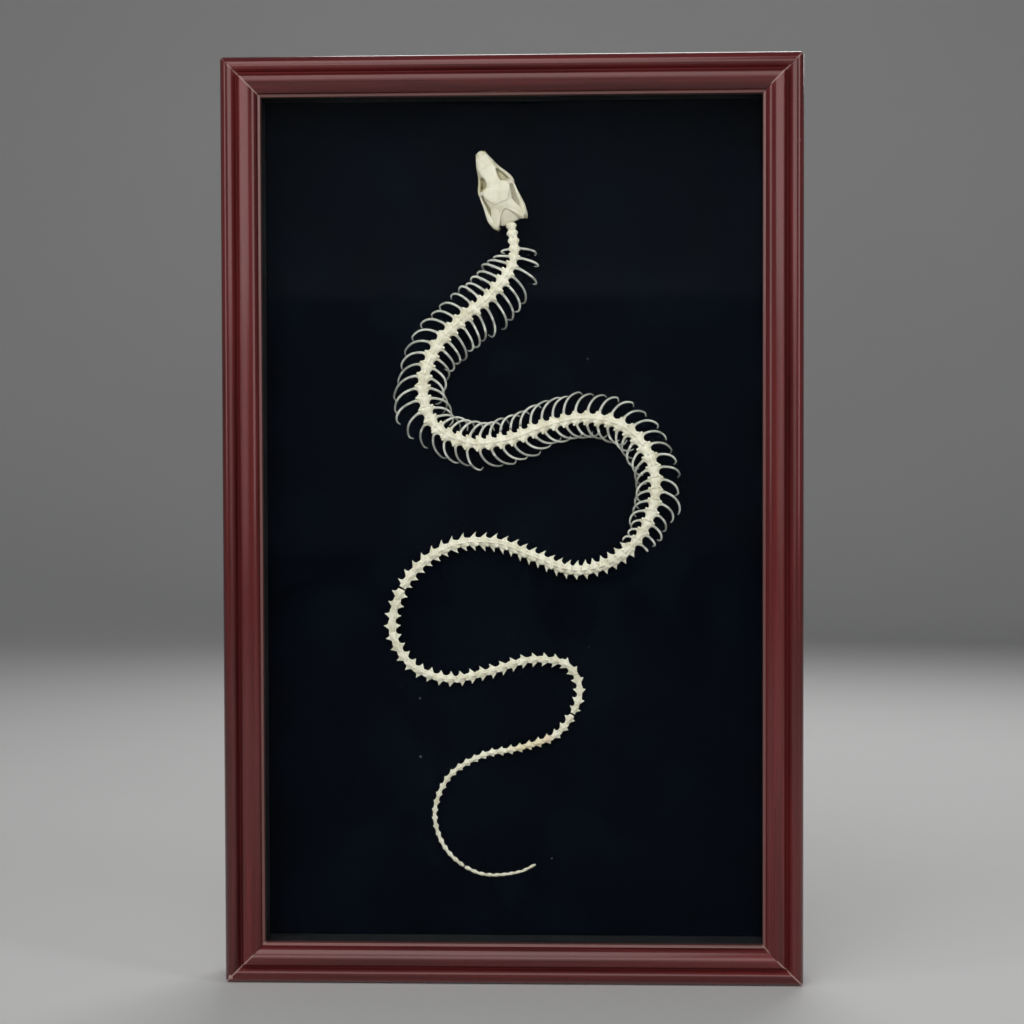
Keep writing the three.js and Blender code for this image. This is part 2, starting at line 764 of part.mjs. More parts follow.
function neckColumn(group) {
  const ringAt = (distance, shape) => {
    const right = halfRing(distance, shape, 1, 0);
    const left = halfRing(distance, shape, -1, 0).slice(1, -1);
    return [...right, ...left.toReversed()];
  };
  return lofted(ringsOf(group, trunkRings, ringAt));
}

// A rib: out to the side, then to the rear and down to the velvet like a sickle, its tip turned in
function rib({ start, length }, side, sign) {
  const at = start + ribPlace * length;
  const reach = rowAt(ribRows[side], at, "reach") * (1 + ribReachSpread * (chance() - 0.5));
  const sweep = rowAt(ribRows[side], at, "sweep") * (1 + ribSweepSpread * (chance() - 0.5));
  const size = Math.min(1, reach / fullRibReach);
  const drop = (stationAt(at, "rise") - ribTipRise) * size ** 2;
  const root = stationAt(at, "joint") - ribRootDepth;
  const endShare = 1 - Math.cos(ribBend);
  const points = [];
  for (let step = 0; step <= ribSteps; step++) {
    const share = step / ribSteps;
    const angle = ribBend * share;
    const turned = (1 - Math.cos(angle)) / endShare;
    const across = root + (reach - root) * Math.sin(angle);
    const behind = sweep * THREE.MathUtils.lerp(share, turned, ribCurl);
    const over = -THREE.MathUtils.lerp(ribRootDrop, drop, turned);
    points.push(spinePoint(at, sign * across, over, behind));
  }
  return bar(points, ribRadii, { steps: ribSteps, sides: 4 });
}

// A tail vertebra's rings: width as above, reach of the side spines and of those above and below
const tailRings = [
  { place: 0.03, width: 1, side: 0, upright: 0 },
  { place: 0.3, width: 0.25, side: 0, upright: 0 },
  { place: 0.48, width: 0.15, side: 1, upright: 0.3 },
  { place: 0.66, width: 0.1, side: 0, upright: 0.8 },
];
// A tail section: two corners at the sides, two on the back and one keel below
const tailCorners = [
  { angle: 0, onSide: true },
  { angle: Math.PI / 3, onSide: false },
  { angle: (2 * Math.PI) / 3, onSide: false },
  { angle: Math.PI, onSide: true },
  { angle: (3 * Math.PI) / 2, onSide: false },
];
// Height of the waist as a share of the joint's, and of the spines on the back and the belly
const tailWaistTall = 0.8;
const tailUpright = 0.3;

function tailRing(distance, shape, length) {
  const waist = stationAt(distance, "waist");
  const halfWidth = THREE.MathUtils.lerp(waist, stationAt(distance, "joint"), shape.width);
  const tall = stationAt(distance, "tall") * THREE.MathUtils.lerp(tailWaistTall, 1, shape.width);
  const reach = Math.max(halfWidth, stationAt(distance, "reach") * shape.side);
  const lean = stationAt(distance, "lean") * length * shape.side;
  return tailCorners.map(({ angle, onSide }) => {
    if (onSide) {
      return spinePoint(distance, Math.cos(angle) * reach, 0, -lean);
    }
    const over = tall * Math.sin(angle) * (1 + tailUpright * shape.upright);
    return spinePoint(distance, Math.cos(angle) * halfWidth, over);
  });
}

function groupFrom(lengths, name, end) {
  const names = Object.keys(lengths);
  const next = names[names.indexOf(name) + 1];
  const to = next ? lengths[next] : end;
  return vertebrae.filter(({ start }) => start >= lengths[name] && start < to);
}

function addSpine() {
  addMesh("neck", neckColumn(vertebrae.filter(({ start }) => start < neckEnd)), "bone");
  for (const name of Object.keys(trunkLengths)) {
    const group = groupFrom(trunkLengths, name, tailStart);
    for (const [side, sign] of [["left", -1], ["right", 1]]) {
      const ribs = group.map((vertebra) => rib(vertebra, side, sign));
      addMesh(`${name}_${side}`, joined([halfColumn(group, sign), ...ribs]), "bone");
    }
  }
  for (const name of Object.keys(tailLengths)) {
    const group = groupFrom(tailLengths, name, spineLength);
    addMesh(name, lofted(ringsOf(group, tailRings, tailRing)), "bone");
  }
}

addFrame();
addSheets();
addHanger();
addBumpers();
addTabs();
addSkull();
addSpine();

export default part;
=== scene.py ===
import math
import random

import bmesh
import bpy
from mathutils import Matrix, Vector


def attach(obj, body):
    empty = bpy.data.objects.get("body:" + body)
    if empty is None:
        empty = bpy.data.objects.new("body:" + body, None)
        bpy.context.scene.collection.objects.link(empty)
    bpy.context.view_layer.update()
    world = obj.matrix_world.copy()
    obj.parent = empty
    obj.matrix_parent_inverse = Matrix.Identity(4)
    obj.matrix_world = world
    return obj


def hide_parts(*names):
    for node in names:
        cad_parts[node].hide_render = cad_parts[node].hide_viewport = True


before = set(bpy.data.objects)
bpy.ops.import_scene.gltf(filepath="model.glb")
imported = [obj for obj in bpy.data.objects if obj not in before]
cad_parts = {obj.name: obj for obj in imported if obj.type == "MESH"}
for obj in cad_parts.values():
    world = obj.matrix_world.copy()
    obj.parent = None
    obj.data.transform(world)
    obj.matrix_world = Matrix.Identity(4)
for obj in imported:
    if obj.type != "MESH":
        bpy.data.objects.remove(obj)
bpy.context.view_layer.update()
mm = 0.001

# The case and its window in millimetres from the wall nail, y into the wall
caseSet = {
    "width": 232,
    "height": 371,
    "drop": 8,             # the nail's distance below the case's top edge
    "velvetFront": 7.5,    # distance of the velvet from the wall
}
windowMiddle = caseSet["drop"] - caseSet["height"] / 2
toFront = Vector((0, -1, 0))


# Making meshes

def catmull(t, a, b, c, d):
    return b + 0.5 * t * (c - a + t * (2 * a - 5 * b + 4 * c - d + t * (3 * (b - c) + d - a)))


def smoothRows(rows, steps):
    # rows of numbers, made finer along a smooth line through them
    last = len(rows) - 1
    fine = []
    for step in range(steps + 1):
        place = step / steps * last
        index = min(int(place), last - 1)
        around = [rows[min(max(index + k, 0), last)] for k in (-1, 0, 1, 2)]
        fine.append([catmull(place - index, *four) for four in zip(*around)])
    return fine


def placesAlong(points, widths, thicks, over):
    # a ring's place at each point: x across the line, y over it, z along it
    places = []
    for index, point in enumerate(points):
        before = points[max(index - 1, 0)]
        after = points[min(index + 1, len(points) - 1)]
        along = (after - before).normalized()
        across = over.cross(along).normalized()
        turn = Matrix((across, along.cross(across), along)).transposed().to_4x4()
        size = Matrix.Diagonal((widths[index], thicks[index], 1, 1))
        places.append(Matrix.Translation(point) @ turn @ size)
    return places


def sweep(bm, places, sides, roundness=1.0):
    # a capped ring drawn out from place to place
    verts = bmesh.ops.create_circle(bm, cap_ends=True, segments=sides, radius=1)["verts"]
    for vert in verts:
        vert.co.x = math.copysign(abs(vert.co.x) ** roundness, vert.co.x)
        vert.co.y = math.copysign(abs(vert.co.y) ** roundness, vert.co.y)
    face = verts[0].link_faces[0]
    bmesh.ops.transform(bm, matrix=places[0], verts=verts)
    whole = list(verts)
    for before, after in zip(places, places[1:]):
        grown = bmesh.ops.extrude_face_region(bm, geom=[face])
        verts = vertsOf(grown)
        face = [part for part in grown["geom"] if isinstance(part, bmesh.types.BMFace)][0]
        bmesh.ops.transform(bm, matrix=after @ before.inverted(), verts=verts)
        whole += verts
    return whole


def boneBar(bm, rows, steps=8, sides=8, over=Vector((0, 0, 1)), roundness=1.0, toPoint=Vector):
    # rows: three numbers for the place, then half the width and half the thickness
    fine = smoothRows(rows, steps)
    points = [toPoint(row[:3]) for row in fine]
    places = placesAlong(points, [row[3] for row in fine], [row[4] for row in fine], over)
    return sweep(bm, places, sides, roundness)


def turnOut(bm):
    # closed shells, all their faces outward
    bmesh.ops.recalc_face_normals(bm, faces=bm.faces)
    return bm


def vertsOf(grown):
    return [part for part in grown["geom"] if isinstance(part, bmesh.types.BMVert)]


def fused(bm, grain, rounds):
    # overlapping forms grown into one skin, then smoothed
    mesh = bpy.data.meshes.new("fusing")
    turnOut(bm).to_mesh(mesh)
    bm.free()
    blank = bpy.data.objects.new("fusing", mesh)
    bpy.context.scene.collection.objects.link(blank)
    skin = blank.modifiers.new("skin", "REMESH")
    skin.mode = "VOXEL"
    skin.voxel_size = grain
    solved = blank.evaluated_get(bpy.context.evaluated_depsgraph_get())
    made = bpy.data.meshes.new_from_object(solved)
    bpy.data.objects.remove(blank)
    out = bmesh.new()
    out.from_mesh(made)
    bpy.data.meshes.remove(made)
    for _ in range(rounds):
        bmesh.ops.smooth_vert(out, verts=out.verts, factor=0.5,
                              use_axis_x=True, use_axis_y=True, use_axis_z=True)
    return out


def keptMesh(bm, name):
    mesh = bpy.data.meshes.new(name)
    bm.to_mesh(mesh)
    bm.free()
    return mesh


def addCopy(bm, mesh, matrix):
    # one more of a kept shape, set down at its place
    start = len(bm.verts)
    bm.from_mesh(mesh)
    bm.verts.ensure_lookup_table()
    bmesh.ops.transform(bm, matrix=matrix, verts=bm.verts[start:])


def placeMesh(name, bm, material, smooth):
    mesh = keptMesh(bm, name)
    for polygon in mesh.polygons:
        polygon.use_smooth = smooth
    mesh.materials.append(material)
    piece = bpy.data.objects.new(name, mesh)
    bpy.context.scene.collection.objects.link(piece)
    return piece


def endPiece(name, bm, material, nodes, smooth=True):
    # millimetres to metres, then the piece stands in for its nodes of the CAD model
    bmesh.ops.scale(bm, vec=(mm, mm, mm), verts=bm.verts)
    piece = placeMesh(name, bm, material, smooth)
    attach(piece, "root")
    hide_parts(*nodes)
    return piece


# Making materials

def setInputs(tree, node, values):
    for socket, value in values.items():
        if isinstance(value, bpy.types.NodeSocket):
            tree.links.new(value, node.inputs[socket])
        else:
            node.inputs[socket].default_value = value


def addNode(tree, kind, inputs=None, **settings):
    made = tree.nodes.new("ShaderNode" + kind)
    for name, value in settings.items():
        setattr(made, name, value)
    setInputs(tree, made, inputs or {})
    return made


def noise(tree, place, scale, detail, roughness=0.5, output="Fac"):
    inputs = {"Vector": place, "Scale": scale, "Detail": detail, "Roughness": roughness}
    return addNode(tree, "TexNoise", inputs).outputs[output]


def drawnOut(tree, place, across, along):
    return addNode(tree, "Mapping", {"Vector": place, "Scale": (across, across, along)}).outputs[0]


def scaled(tree, value, by):
    return reckon(tree, "MULTIPLY", value, by)


def mixColour(tree, factor, first, second):
    return addNode(tree, "Mix", {0: factor, 6: first, 7: second}, data_type="RGBA").outputs[2]


def reckon(tree, operation, first, second=0.0):
    return addNode(tree, "Math", {0: first, 1: second}, operation=operation).outputs[0]


def spread(tree, value, fromLow, fromHigh, low=0.0, high=1.0):
    # a value's range stretched to another, held at both ends
    inputs = {0: value, 1: fromLow, 2: fromHigh, 3: low, 4: high}
    return addNode(tree, "MapRange", inputs, interpolation_type="SMOOTHSTEP").outputs[0]


def effectGroup(name, inputs, outputs):
    # an effect with named inputs and outputs, which several materials use
    tree = bpy.data.node_groups.new(name, "ShaderNodeTree")
    for socket, kind, value in inputs:
        made = tree.interface.new_socket(socket, in_out="INPUT", socket_type="NodeSocket" + kind)
        if value is not None:
            made.default_value = value
    for socket, kind in outputs:
        tree.interface.new_socket(socket, in_out="OUTPUT", socket_type="NodeSocket" + kind)
    return tree, tree.nodes.new("NodeGroupInput").outputs, tree.nodes.new("NodeGroupOutput").inputs


def useGroup(material, tree, **values):
    made = addNode(material.node_tree, "Group", node_tree=tree)
    setInputs(material.node_tree, made, values)
    return made.outputs


def newMaterial(name, **constants):
    # a material, its tree and the place of each point on the piece
    material = bpy.data.materials.new(name)
    material.use_nodes = True
    tree = material.node_tree
    for socket, value in constants.items():
        tree.nodes["Principled BSDF"].inputs[socket.replace("_", " ")].default_value = value
    return material, tree, tree.nodes.new("ShaderNodeTexCoord").outputs["Object"]


def feed(tree, colour, roughness=None, height=None, strength=0.4, depth=0.0002):
    fed = {"Base Color": colour}
    if roughness is not None:
        fed["Roughness"] = roughness
    if height is not None:
        bump = addNode(tree, "Bump", {"Strength": strength, "Distance": depth, "Height": height})
        fed["Normal"] = bump.outputs[0]
    setInputs(tree, tree.nodes["Principled BSDF"], fed)


def patchMask(tree, place, centre, radius, raggedness, scale):
    # a patch with a ragged edge round one place, given in millimetres
    middle = [length * mm for length in centre]
    far = addNode(tree, "VectorMath", {0: place, 1: middle}, operation="DISTANCE").outputs["Value"]
    rough = reckon(tree, "SUBTRACT", noise(tree, place, scale, 4.0), 0.5)
    edge = reckon(tree, "ADD", far, scaled(tree, rough, raggedness * mm))
    return spread(tree, edge, radius * mm, radius * mm * 0.6)


# Bone: cream to olive blotches, painted shade in the hollows, faint pores
boneTone, given, result = effectGroup(
    "boneTone",
    [("Place", "Vector", None), ("Light", "Color", (0.8, 0.75, 0.6, 1)),
     ("Dark", "Color", (0.5, 0.45, 0.3, 1)), ("Hollow", "Color", (0.2, 0.15, 0.08, 1)),
     ("Blotch", "Float", 1.0)],
    [("Colour", "Color"), ("Roughness", "Float"), ("Height", "Float")],
)
tree = boneTone
blotch = noise(tree, given["Place"], 260.0, 5.0, 0.6)
fine = noise(tree, given["Place"], 1900.0, 6.0, 0.65)
pore = addNode(tree, "TexVoronoi", {"Vector": given["Place"], "Scale": 2600.0}).outputs["Distance"]
poreMask = spread(tree, pore, 0.22, 0.05)
tone = reckon(tree, "MULTIPLY", spread(tree, blotch, 0.38, 0.68), given["Blotch"])
colour = mixColour(tree, tone, given["Light"], given["Dark"])
colour = mixColour(tree, scaled(tree, spread(tree, fine, 0.5, 0.75), 0.25), colour, given["Dark"])
point = tree.nodes.new("ShaderNodeNewGeometry").outputs["Pointiness"]
# painted shade: concave places, found by pointiness, turn to the shade colour
colour = mixColour(tree, scaled(tree, spread(tree, point, 0.5, 0.4), 0.75), colour, given["Hollow"])
# the pores darkened with the same painted shade colour
colour = mixColour(tree, scaled(tree, poreMask, 0.3), colour, given["Hollow"])
tree.links.new(colour, result["Colour"])
tree.links.new(spread(tree, fine, 0.3, 0.7, 0.42, 0.62), result["Roughness"])
height = reckon(tree, "SUBTRACT", reckon(tree, "ADD", fine, scaled(tree, blotch, 1.5)), poreMask)
tree.links.new(height, result["Height"])

# Wood: long dark streaks and fine pores along the rail, its length on z
woodGrain, given, result = effectGroup(
    "woodGrain",
    [("Place", "Vector", None), ("Dark", "Color", (0.05, 0.01, 0.01, 1)),
     ("Light", "Color", (0.2, 0.06, 0.05, 1))],
    [("Colour", "Color"), ("Roughness", "Float"), ("Height", "Float")],
)
tree = woodGrain
wander = noise(tree, given["Place"], 9.0, 2.0, output="Color")
shift = addNode(tree, "VectorMath", {0: wander, 1: (0.004, 0.004, 0.0)}, operation="MULTIPLY").outputs[0]
bent = addNode(tree, "VectorMath", {0: given["Place"], 1: shift}, operation="ADD").outputs[0]
streak = noise(tree, drawnOut(tree, bent, 420.0, 6.0), 1.0, 5.0, 0.62)
broad = noise(tree, drawnOut(tree, bent, 90.0, 5.0), 1.0, 3.0)
woodPore = spread(tree, noise(tree, drawnOut(tree, given["Place"], 2000.0, 60.0), 1.0, 2.0), 0.6, 0.72)
tone = reckon(tree, "ADD", scaled(tree, spread(tree, streak, 0.2, 0.8), 0.55),
              scaled(tree, spread(tree, broad, 0.3, 0.7), 0.45))
colour = mixColour(tree, tone, given["Dark"], given["Light"])
colour = mixColour(tree, scaled(tree, woodPore, 0.3), colour, given["Dark"])
tree.links.new(colour, result["Colour"])
tree.links.new(spread(tree, streak, 0.3, 0.7, 0.2, 0.32), result["Roughness"])
tree.links.new(reckon(tree, "SUBTRACT", scaled(tree, streak, 0.6), woodPore), result["Height"])

# Wear: the sharp edges of a piece, broken up
edgeWear, given, result = effectGroup("edgeWear", [("Place", "Vector", None), ("Amount", "Float", 0.5)],
                                      [("Mask", "Float")])
tree = edgeWear
point = tree.nodes.new("ShaderNodeNewGeometry").outputs["Pointiness"]
lighterEdges = spread(tree, point, 0.53, 0.6)
broken = spread(tree, noise(tree, given["Place"], 420.0, 5.0), 0.45, 0.62)
wear = reckon(tree, "MULTIPLY", reckon(tree, "MULTIPLY", lighterEdges, broken), given["Amount"])
tree.links.new(wear, result["Mask"])

# Dust: few specks of unlike size
dustSpecks, given, result = effectGroup(
    "dustSpecks",
    [("Place", "Vector", None), ("Scale", "Float", 400.0), ("Amount", "Float", 0.5)],
    [("Mask", "Float")],
)
tree = dustSpecks
cell = addNode(tree, "TexVoronoi", {"Vector": given["Place"], "Scale": given["Scale"]})
picked = addNode(tree, "SeparateColor", {0: cell.outputs["Color"]}).outputs[0]
size = spread(tree, picked, 0.86, 1.0, 0.0, 0.06)
speck = addNode(tree, "Math", {0: cell.outputs["Distance"], 1: size}, operation="LESS_THAN").outputs[0]
tree.links.new(reckon(tree, "MULTIPLY", speck, given["Amount"]), result["Mask"])


def boneMaterial(name, light, dark, hollowTone, blotch, shadeHeights=None, stains=()):
    # heights over the wall between which the bone turns olive: painted shade on the floor of the skull
    material, tree, place = newMaterial(name, IOR=1.5, Specular_IOR_Level=0.4)
    tone = useGroup(material, boneTone, Place=place, Light=light, Dark=dark, Hollow=hollowTone, Blotch=blotch)
    colour = tone["Colour"]
    if shadeHeights:
        # painted shade: the nearer to the wall, the more the skull is painted olive
        height = scaled(tree, addNode(tree, "SeparateXYZ", {0: place}).outputs["Y"], -1.0)
        mask = scaled(tree, spread(tree, height, shadeHeights[1] * mm, shadeHeights[0] * mm), 0.85)
        colour = mixColour(tree, mask, colour, boneSet["floorShade"])
    for centre, radius, tint in stains:
        mask = scaled(tree, patchMask(tree, place, centre, radius, radius, 300.0), 0.6)
        colour = mixColour(tree, mask, colour, tint)
    feed(tree, colour, tone["Roughness"], tone["Height"], 0.35, 0.00012)
    return material


boneSet = {
    "skullLight": (0.66, 0.61, 0.49, 1), "skullDark": (0.52, 0.47, 0.34, 1),
    "spineLight": (0.75, 0.7, 0.575, 1), "spineDark": (0.56, 0.51, 0.37, 1),
    "ribLight": (0.62, 0.6, 0.54, 1), "ribDark": (0.44, 0.43, 0.38, 1),
    # painted shade colours: a brown for hollows and pores, an olive for the skull's floor, and the heights of
    # that floor
    "hollow": (0.15, 0.115, 0.05, 1), "floorShade": (0.4, 0.345, 0.17, 1), "floorShadeHeights": (12.6, 13.7),
    # stains on the spine: place, radius, colour
    "stains": [((7, -9.6, windowMiddle - 91.5), 10, (0.66, 0.53, 0.32, 1)),
               ((13.5, -9.6, windowMiddle - 89.5), 1.3, (0.66, 0.42, 0.34, 1)),
               ((-49.3, -10.4, windowMiddle - 38.4), 1.2, (0.6, 0.42, 0.36, 1))],
}
skullBone = boneMaterial("skullBone", boneSet["skullLight"], boneSet["skullDark"], boneSet["hollow"], 0.7,
                         shadeHeights=boneSet["floorShadeHeights"])
spineBone = boneMaterial("spineBone", boneSet["spineLight"], boneSet["spineDark"], boneSet["hollow"], 0.8,
                         stains=boneSet["stains"])
ribBone = boneMaterial("ribBone", boneSet["ribLight"], boneSet["ribDark"], boneSet["hollow"], 0.8)
print("materials for bone ready")

# Spine: its way through the window seen from the front, head to tail
routeSet = [
    (-0.5, 120.5), (0.5, 105.5), (-8.5, 91.5), (-20.8, 81.3), (-31.4, 69.2), (-36.2, 54), (-31.6, 39),
    (-17.5, 31.7), (-1.5, 33), (13.7, 38.5), (29.5, 41.5), (45, 37.7), (55.3, 25.7), (57.5, 10),
    (52, -5.2), (40.4, -16.3), (25, -20.2), (9.6, -15.2), (-5.6, -9.4), (-21.8, -9.3), (-36.3, -16.6),
    (-46.4, -29.5), (-49.5, -45.5), (-41.8, -59.2), (-26.6, -64.8), (-10.7, -62), (5, -57.3),
    (13.2, -57), (21.2, -58.8), (26, -65), (26.4, -73), (18, -87), (3, -93), (-13, -96.4),
    (-26.6, -105), (-32.7, -120.3), (-27.7, -135.6), (-14.5, -145), (1.6, -144.5), (9.3, -141),
]
# Vertebrae by distance behind the skull, in millimetres
stationNames = ("at", "length", "joint", "tall", "reach", "lean", "rise")
stationSet = [
    (0, 3, 2.4, 1.6, 0, 0, 5.7),
    (8, 3.3, 2.5, 1.6, 0, 0, 6.6),
    (16, 3.6, 2.8, 1.7, 0, 0, 7.8),
    (26, 3.9, 3.5, 1.7, 0, 0, 9.1),
    (60, 4.5, 3.65, 1.8, 0, 0, 9.6),
    (120, 4.5, 3.5, 1.8, 0, 0, 9.6),
    (148, 4.5, 3.3, 1.8, 0, 0, 9.5),
    (200, 4.6, 3.6, 1.8, 0, 0, 9.4),
    (218, 4.4, 3.3, 1.8, 2, -0.7, 8.2),
    (229, 4, 2.7, 1.8, 4.2, -0.7, 7),
    (250, 3.8, 2.4, 1.7, 4, 0, 5.2),
    (262, 3.9, 2.3, 1.6, 4, 0.7, 4.8),
    (300, 4.2, 2.1, 1.3, 3.9, 1, 3.4),
    (340, 4.5, 1.85, 1.1, 3.5, 0.2, 3),
    (390, 4.4, 1.65, 1.1, 3.2, 0.1, 2.7),
    (410, 4.4, 1.6, 1.0, 3.1, 0.7, 2.6),
    (460, 4.2, 1.3, 0.9, 2.5, 0.5, 2.2),
    (540, 3.3, 0.8, 0.6, 1.3, 0.5, 1.3),
    (592, 2.9, 0.5, 0.45, 0.6, 0.5, 0.9),
]
lengthSet = {
    "neck": 0, "trunk_front": 8, "trunk_middle": 62, "trunk_rear": 148,
    "tail_base": 231, "tail_front": 337, "tail_middle": 397, "tail_rear": 457, "tail_tip": 562,
}


def centripetal(corners, stepsEach):
    # a smooth line through the corners that doesn't overshoot where they are close
    ends = [2 * corners[0] - corners[1], *corners, 2 * corners[-1] - corners[-2]]
    line = []
    for a, b, c, d in zip(ends, ends[1:], ends[2:], ends[3:]):
        ta, tb, tc = [math.sqrt((q - p).length) for p, q in ((a, b), (b, c), (c, d))]
        leave = ((b - a) / ta - (c - a) / (ta + tb) + (c - b) / tb) * tb
        arrive = ((c - b) / tb - (d - b) / (tb + tc) + (d - c) / tc) * tb
        for step in range(stepsEach):
            t = step / stepsEach
            line.append(b * (2 * t ** 3 - 3 * t ** 2 + 1) + leave * (t ** 3 - 2 * t ** 2 + t)
                        + c * (3 * t ** 2 - 2 * t ** 3) + arrive * (t ** 3 - t ** 2))
    return line + [corners[-1]]


routeLine = centripetal([Vector((x, 0, windowMiddle + z)) for x, z in routeSet], 24)
routeReach = [0.0]
for before, after in zip(routeLine, routeLine[1:]):
    routeReach.append(routeReach[-1] + (after - before).length)
spineLength = routeReach[-1]


def listedAt(rows, distance, column):
    # a value between listed rows, which start with their distance
    for before, after in zip(rows, rows[1:]):
        if distance <= after[0] or after is rows[-1]:
            share = min(max((distance - before[0]) / (after[0] - before[0]), 0), 1)
            return before[column] + (after[column] - before[column]) * share


def stationAt(distance, name):
    return listedAt(stationSet, distance, stationNames.index(name))


def routeAt(distance):
    distance = min(max(distance, 0.0), spineLength - 0.001)
    index = next(i for i, reach in enumerate(routeReach) if reach > distance) - 1
    share = (distance - routeReach[index]) / (routeReach[index + 1] - routeReach[index])
    return routeLine[index].lerp(routeLine[index + 1], share)


def spineFrame(distance):
    # place on the spine with its directions: right, to the head, to the front of the case
    point = routeAt(distance)
    point.y = -caseSet["velvetFront"] - stationAt(distance, "rise")
    ahead = (routeAt(distance - 0.4) - routeAt(distance + 0.4)).normalized()
    right = ahead.cross(toFront).normalized()
    return point, right, ahead


def spinePlace(distance, size=(1, 1, 1), turn=(0, 0, 0)):
    point, right, ahead = spineFrame(distance)
    basis = Matrix((right, ahead, toFront)).transposed().to_4x4()
    aroundX, aroundY, aroundZ = [Matrix.Rotation(angle, 4, axis) for angle, axis in zip(turn, "XYZ")]
    tilt = aroundZ @ aroundY @ aroundX
    return Matrix.Translation(point) @ basis @ tilt @ Matrix.Diagonal((*size, 1))


def vertebraList():
    found = []
    start = 0.3
    while start < spineLength - stationSet[-1][1]:
        length = stationAt(start, "length")
        found.append((start, length))
        start += length
    return found


vertebrae = vertebraList()


def lengthGroup(name):
    names = list(lengthSet)
    after = names.index(name) + 1
    end = lengthSet[names[after]] if after < len(names) else spineLength
    return [one for one in vertebrae if lengthSet[name] <= one[0] < end or (name == "neck" and one[0] < end)]


# Trunk vertebra: x to the right, y to the head, z to the back of the animal
trunkSet = {
    "joint": 3.2, "length": 4.6, "tall": 1.8, "grain": 0.2, "rounds": 1,
    "body": [(0, 2.5, -0.2, 1.3, 1.0), (0, 2.2, 0, 2.0, 1.35), (0, 1.4, 0, 2.5, 1.6), (0, 0.5, 0, 2.4, 1.55),
             (0, -0.3, 0, 1.95, 1.45), (0, -1.2, 0.05, 1.7, 1.4), (0, -2.0, 0.1, 1.8, 1.4),
             (0, -2.6, 0, 1.3, 1.1)],
    "ridge": [(0, 1.9, 1.2, 0.42, 0.3), (0, 0.6, 1.42, 0.48, 0.38), (0, -1.2, 1.55, 0.5, 0.42),
              (0, -2.6, 1.55, 0.42, 0.35)],
    "frontWing": [(1.2, 1.6, 1.0, 0.75, 0.5), (2.1, 1.85, 1.05, 0.6, 0.5), (2.9, 2.0, 0.95, 0.5, 0.48)],
    "rearWing": [(0.8, -1.5, 1.15, 0.7, 0.45), (1.4, -2.1, 1.25, 0.5, 0.42), (2.05, -2.4, 1.15, 0.42, 0.4)],
    "ribSeat": [(1.6, 0.8, 0.1, 0.8, 0.8), (2.5, 0.8, 0.1, 0.62, 0.7), (3.1, 0.85, -0.05, 0.5, 0.6),
                (3.4, 0.9, -0.1, 0.35, 0.4)],
}
# Tail vertebra: as above, with a side spine that leans to the head
tailSet = {
    "joint": 1.8, "length": 4.5, "tall": 1.1, "reach": 3.5, "grain": 0.18, "rounds": 1,
    "body": [(0, 2.4, -0.1, 1.05, 0.6), (0, 2.1, 0, 1.45, 0.95), (0, 1.4, 0, 1.7, 1.05),
             (0, 0.3, 0, 1.6, 0.95), (0, -0.9, 0, 1.35, 0.8), (0, -1.7, 0, 1.45, 0.85),
             (0, -2.3, -0.1, 1.35, 0.75)],
    "ridge": [(0, 1.2, 0.8, 0.3, 0.22), (0, -0.4, 1.05, 0.32, 0.3), (0, -2.3, 1.3, 0.26, 0.25)],
    "frontWing": [(0.7, 1.2, 0.7, 0.5, 0.3), (1.1, 2.0, 0.75, 0.45, 0.3), (1.45, 2.5, 0.7, 0.3, 0.22)],
    "rearWing": [(0.6, -1.2, 0.7, 0.4, 0.3), (1.0, -2.0, 0.75, 0.4, 0.28), (1.3, -2.5, 0.75, 0.25, 0.2)],
    "sideSpine": [(0.9, 0.2, -0.1, 1.6, 0.5), (1.6, 0.2, -0.1, 1.3, 0.4), (2.3, 0.2, -0.1, 0.72, 0.32),
                  (2.9, 0.25, -0.1, 0.36, 0.26), (3.5, 0.3, -0.1, 0.17, 0.18)],
    "keel": [(0, 0.6, -0.9, 0.3, 0.3), (0, -0.6, -1.5, 0.25, 0.3), (0, -1.8, -2.1, 0.18, 0.25)],
    "parting": {"tail_base": 1.1, "tail_middle": 1.0, "tail_rear": 0.7},  # gaps left in the glued tail
    "leanRoot": 1.2, "leanGain": 0.36, "leanPower": 1.5,  # where a side spine starts to lean, and how far
}
# Neck vertebra: the trunk's with lower knobs
neckSet = dict(trunkSet)
neckSet["body"] = [(x, y, z, width * 1.2, thick) for x, y, z, width, thick in trunkSet["body"]]
for part in ("frontWing", "rearWing", "ribSeat"):
    neckSet[part] = [(x * 0.82, y, z, width, thick) for x, y, z, width, thick in trunkSet[part]]
kinds = 3  # unlike copies of each


def bothSides(bm, rows, draw, wobble, **options):
    for sign in (-1, 1):
        shift = [draw.uniform(-wobble, wobble) for _ in range(3)]
        side = []
        for index, (x, y, z, width, thick) in enumerate(rows):
            out = index / (len(rows) - 1)
            side.append((sign * x + out * shift[0], y + out * shift[1], z + out * shift[2], width, thick))
        boneBar(bm, side, **options)


def shapedVertebra(given, draw, name):
    bm = bmesh.new()
    boneBar(bm, given["body"], 14, 14, roundness=0.85)
    boneBar(bm, given["ridge"], 8, 8)
    for wing in ("frontWing", "rearWing", "ribSeat", "sideSpine"):
        if wing in given:
            bothSides(bm, given[wing], draw, 0.12, steps=8, sides=8)
    if "keel" in given:
        boneBar(bm, given["keel"], 6, 6)
    return keptMesh(fused(bm, given["grain"], given["rounds"]), name)


draw = random.Random(11)
trunkShapes = [shapedVertebra(trunkSet, draw, f"trunkShape{kind}") for kind in range(kinds)]
neckShapes = [shapedVertebra(neckSet, draw, f"neckShape{kind}") for kind in range(kinds)]
tailShapes = [shapedVertebra(tailSet, draw, f"tailShape{kind}") for kind in range(kinds)]
print("vertebra shapes ready:", len(trunkShapes[0].polygons), len(tailShapes[0].polygons), "faces")


def unevenTurn(draw, amount):
    return [draw.uniform(-amount, amount) for _ in range(3)]


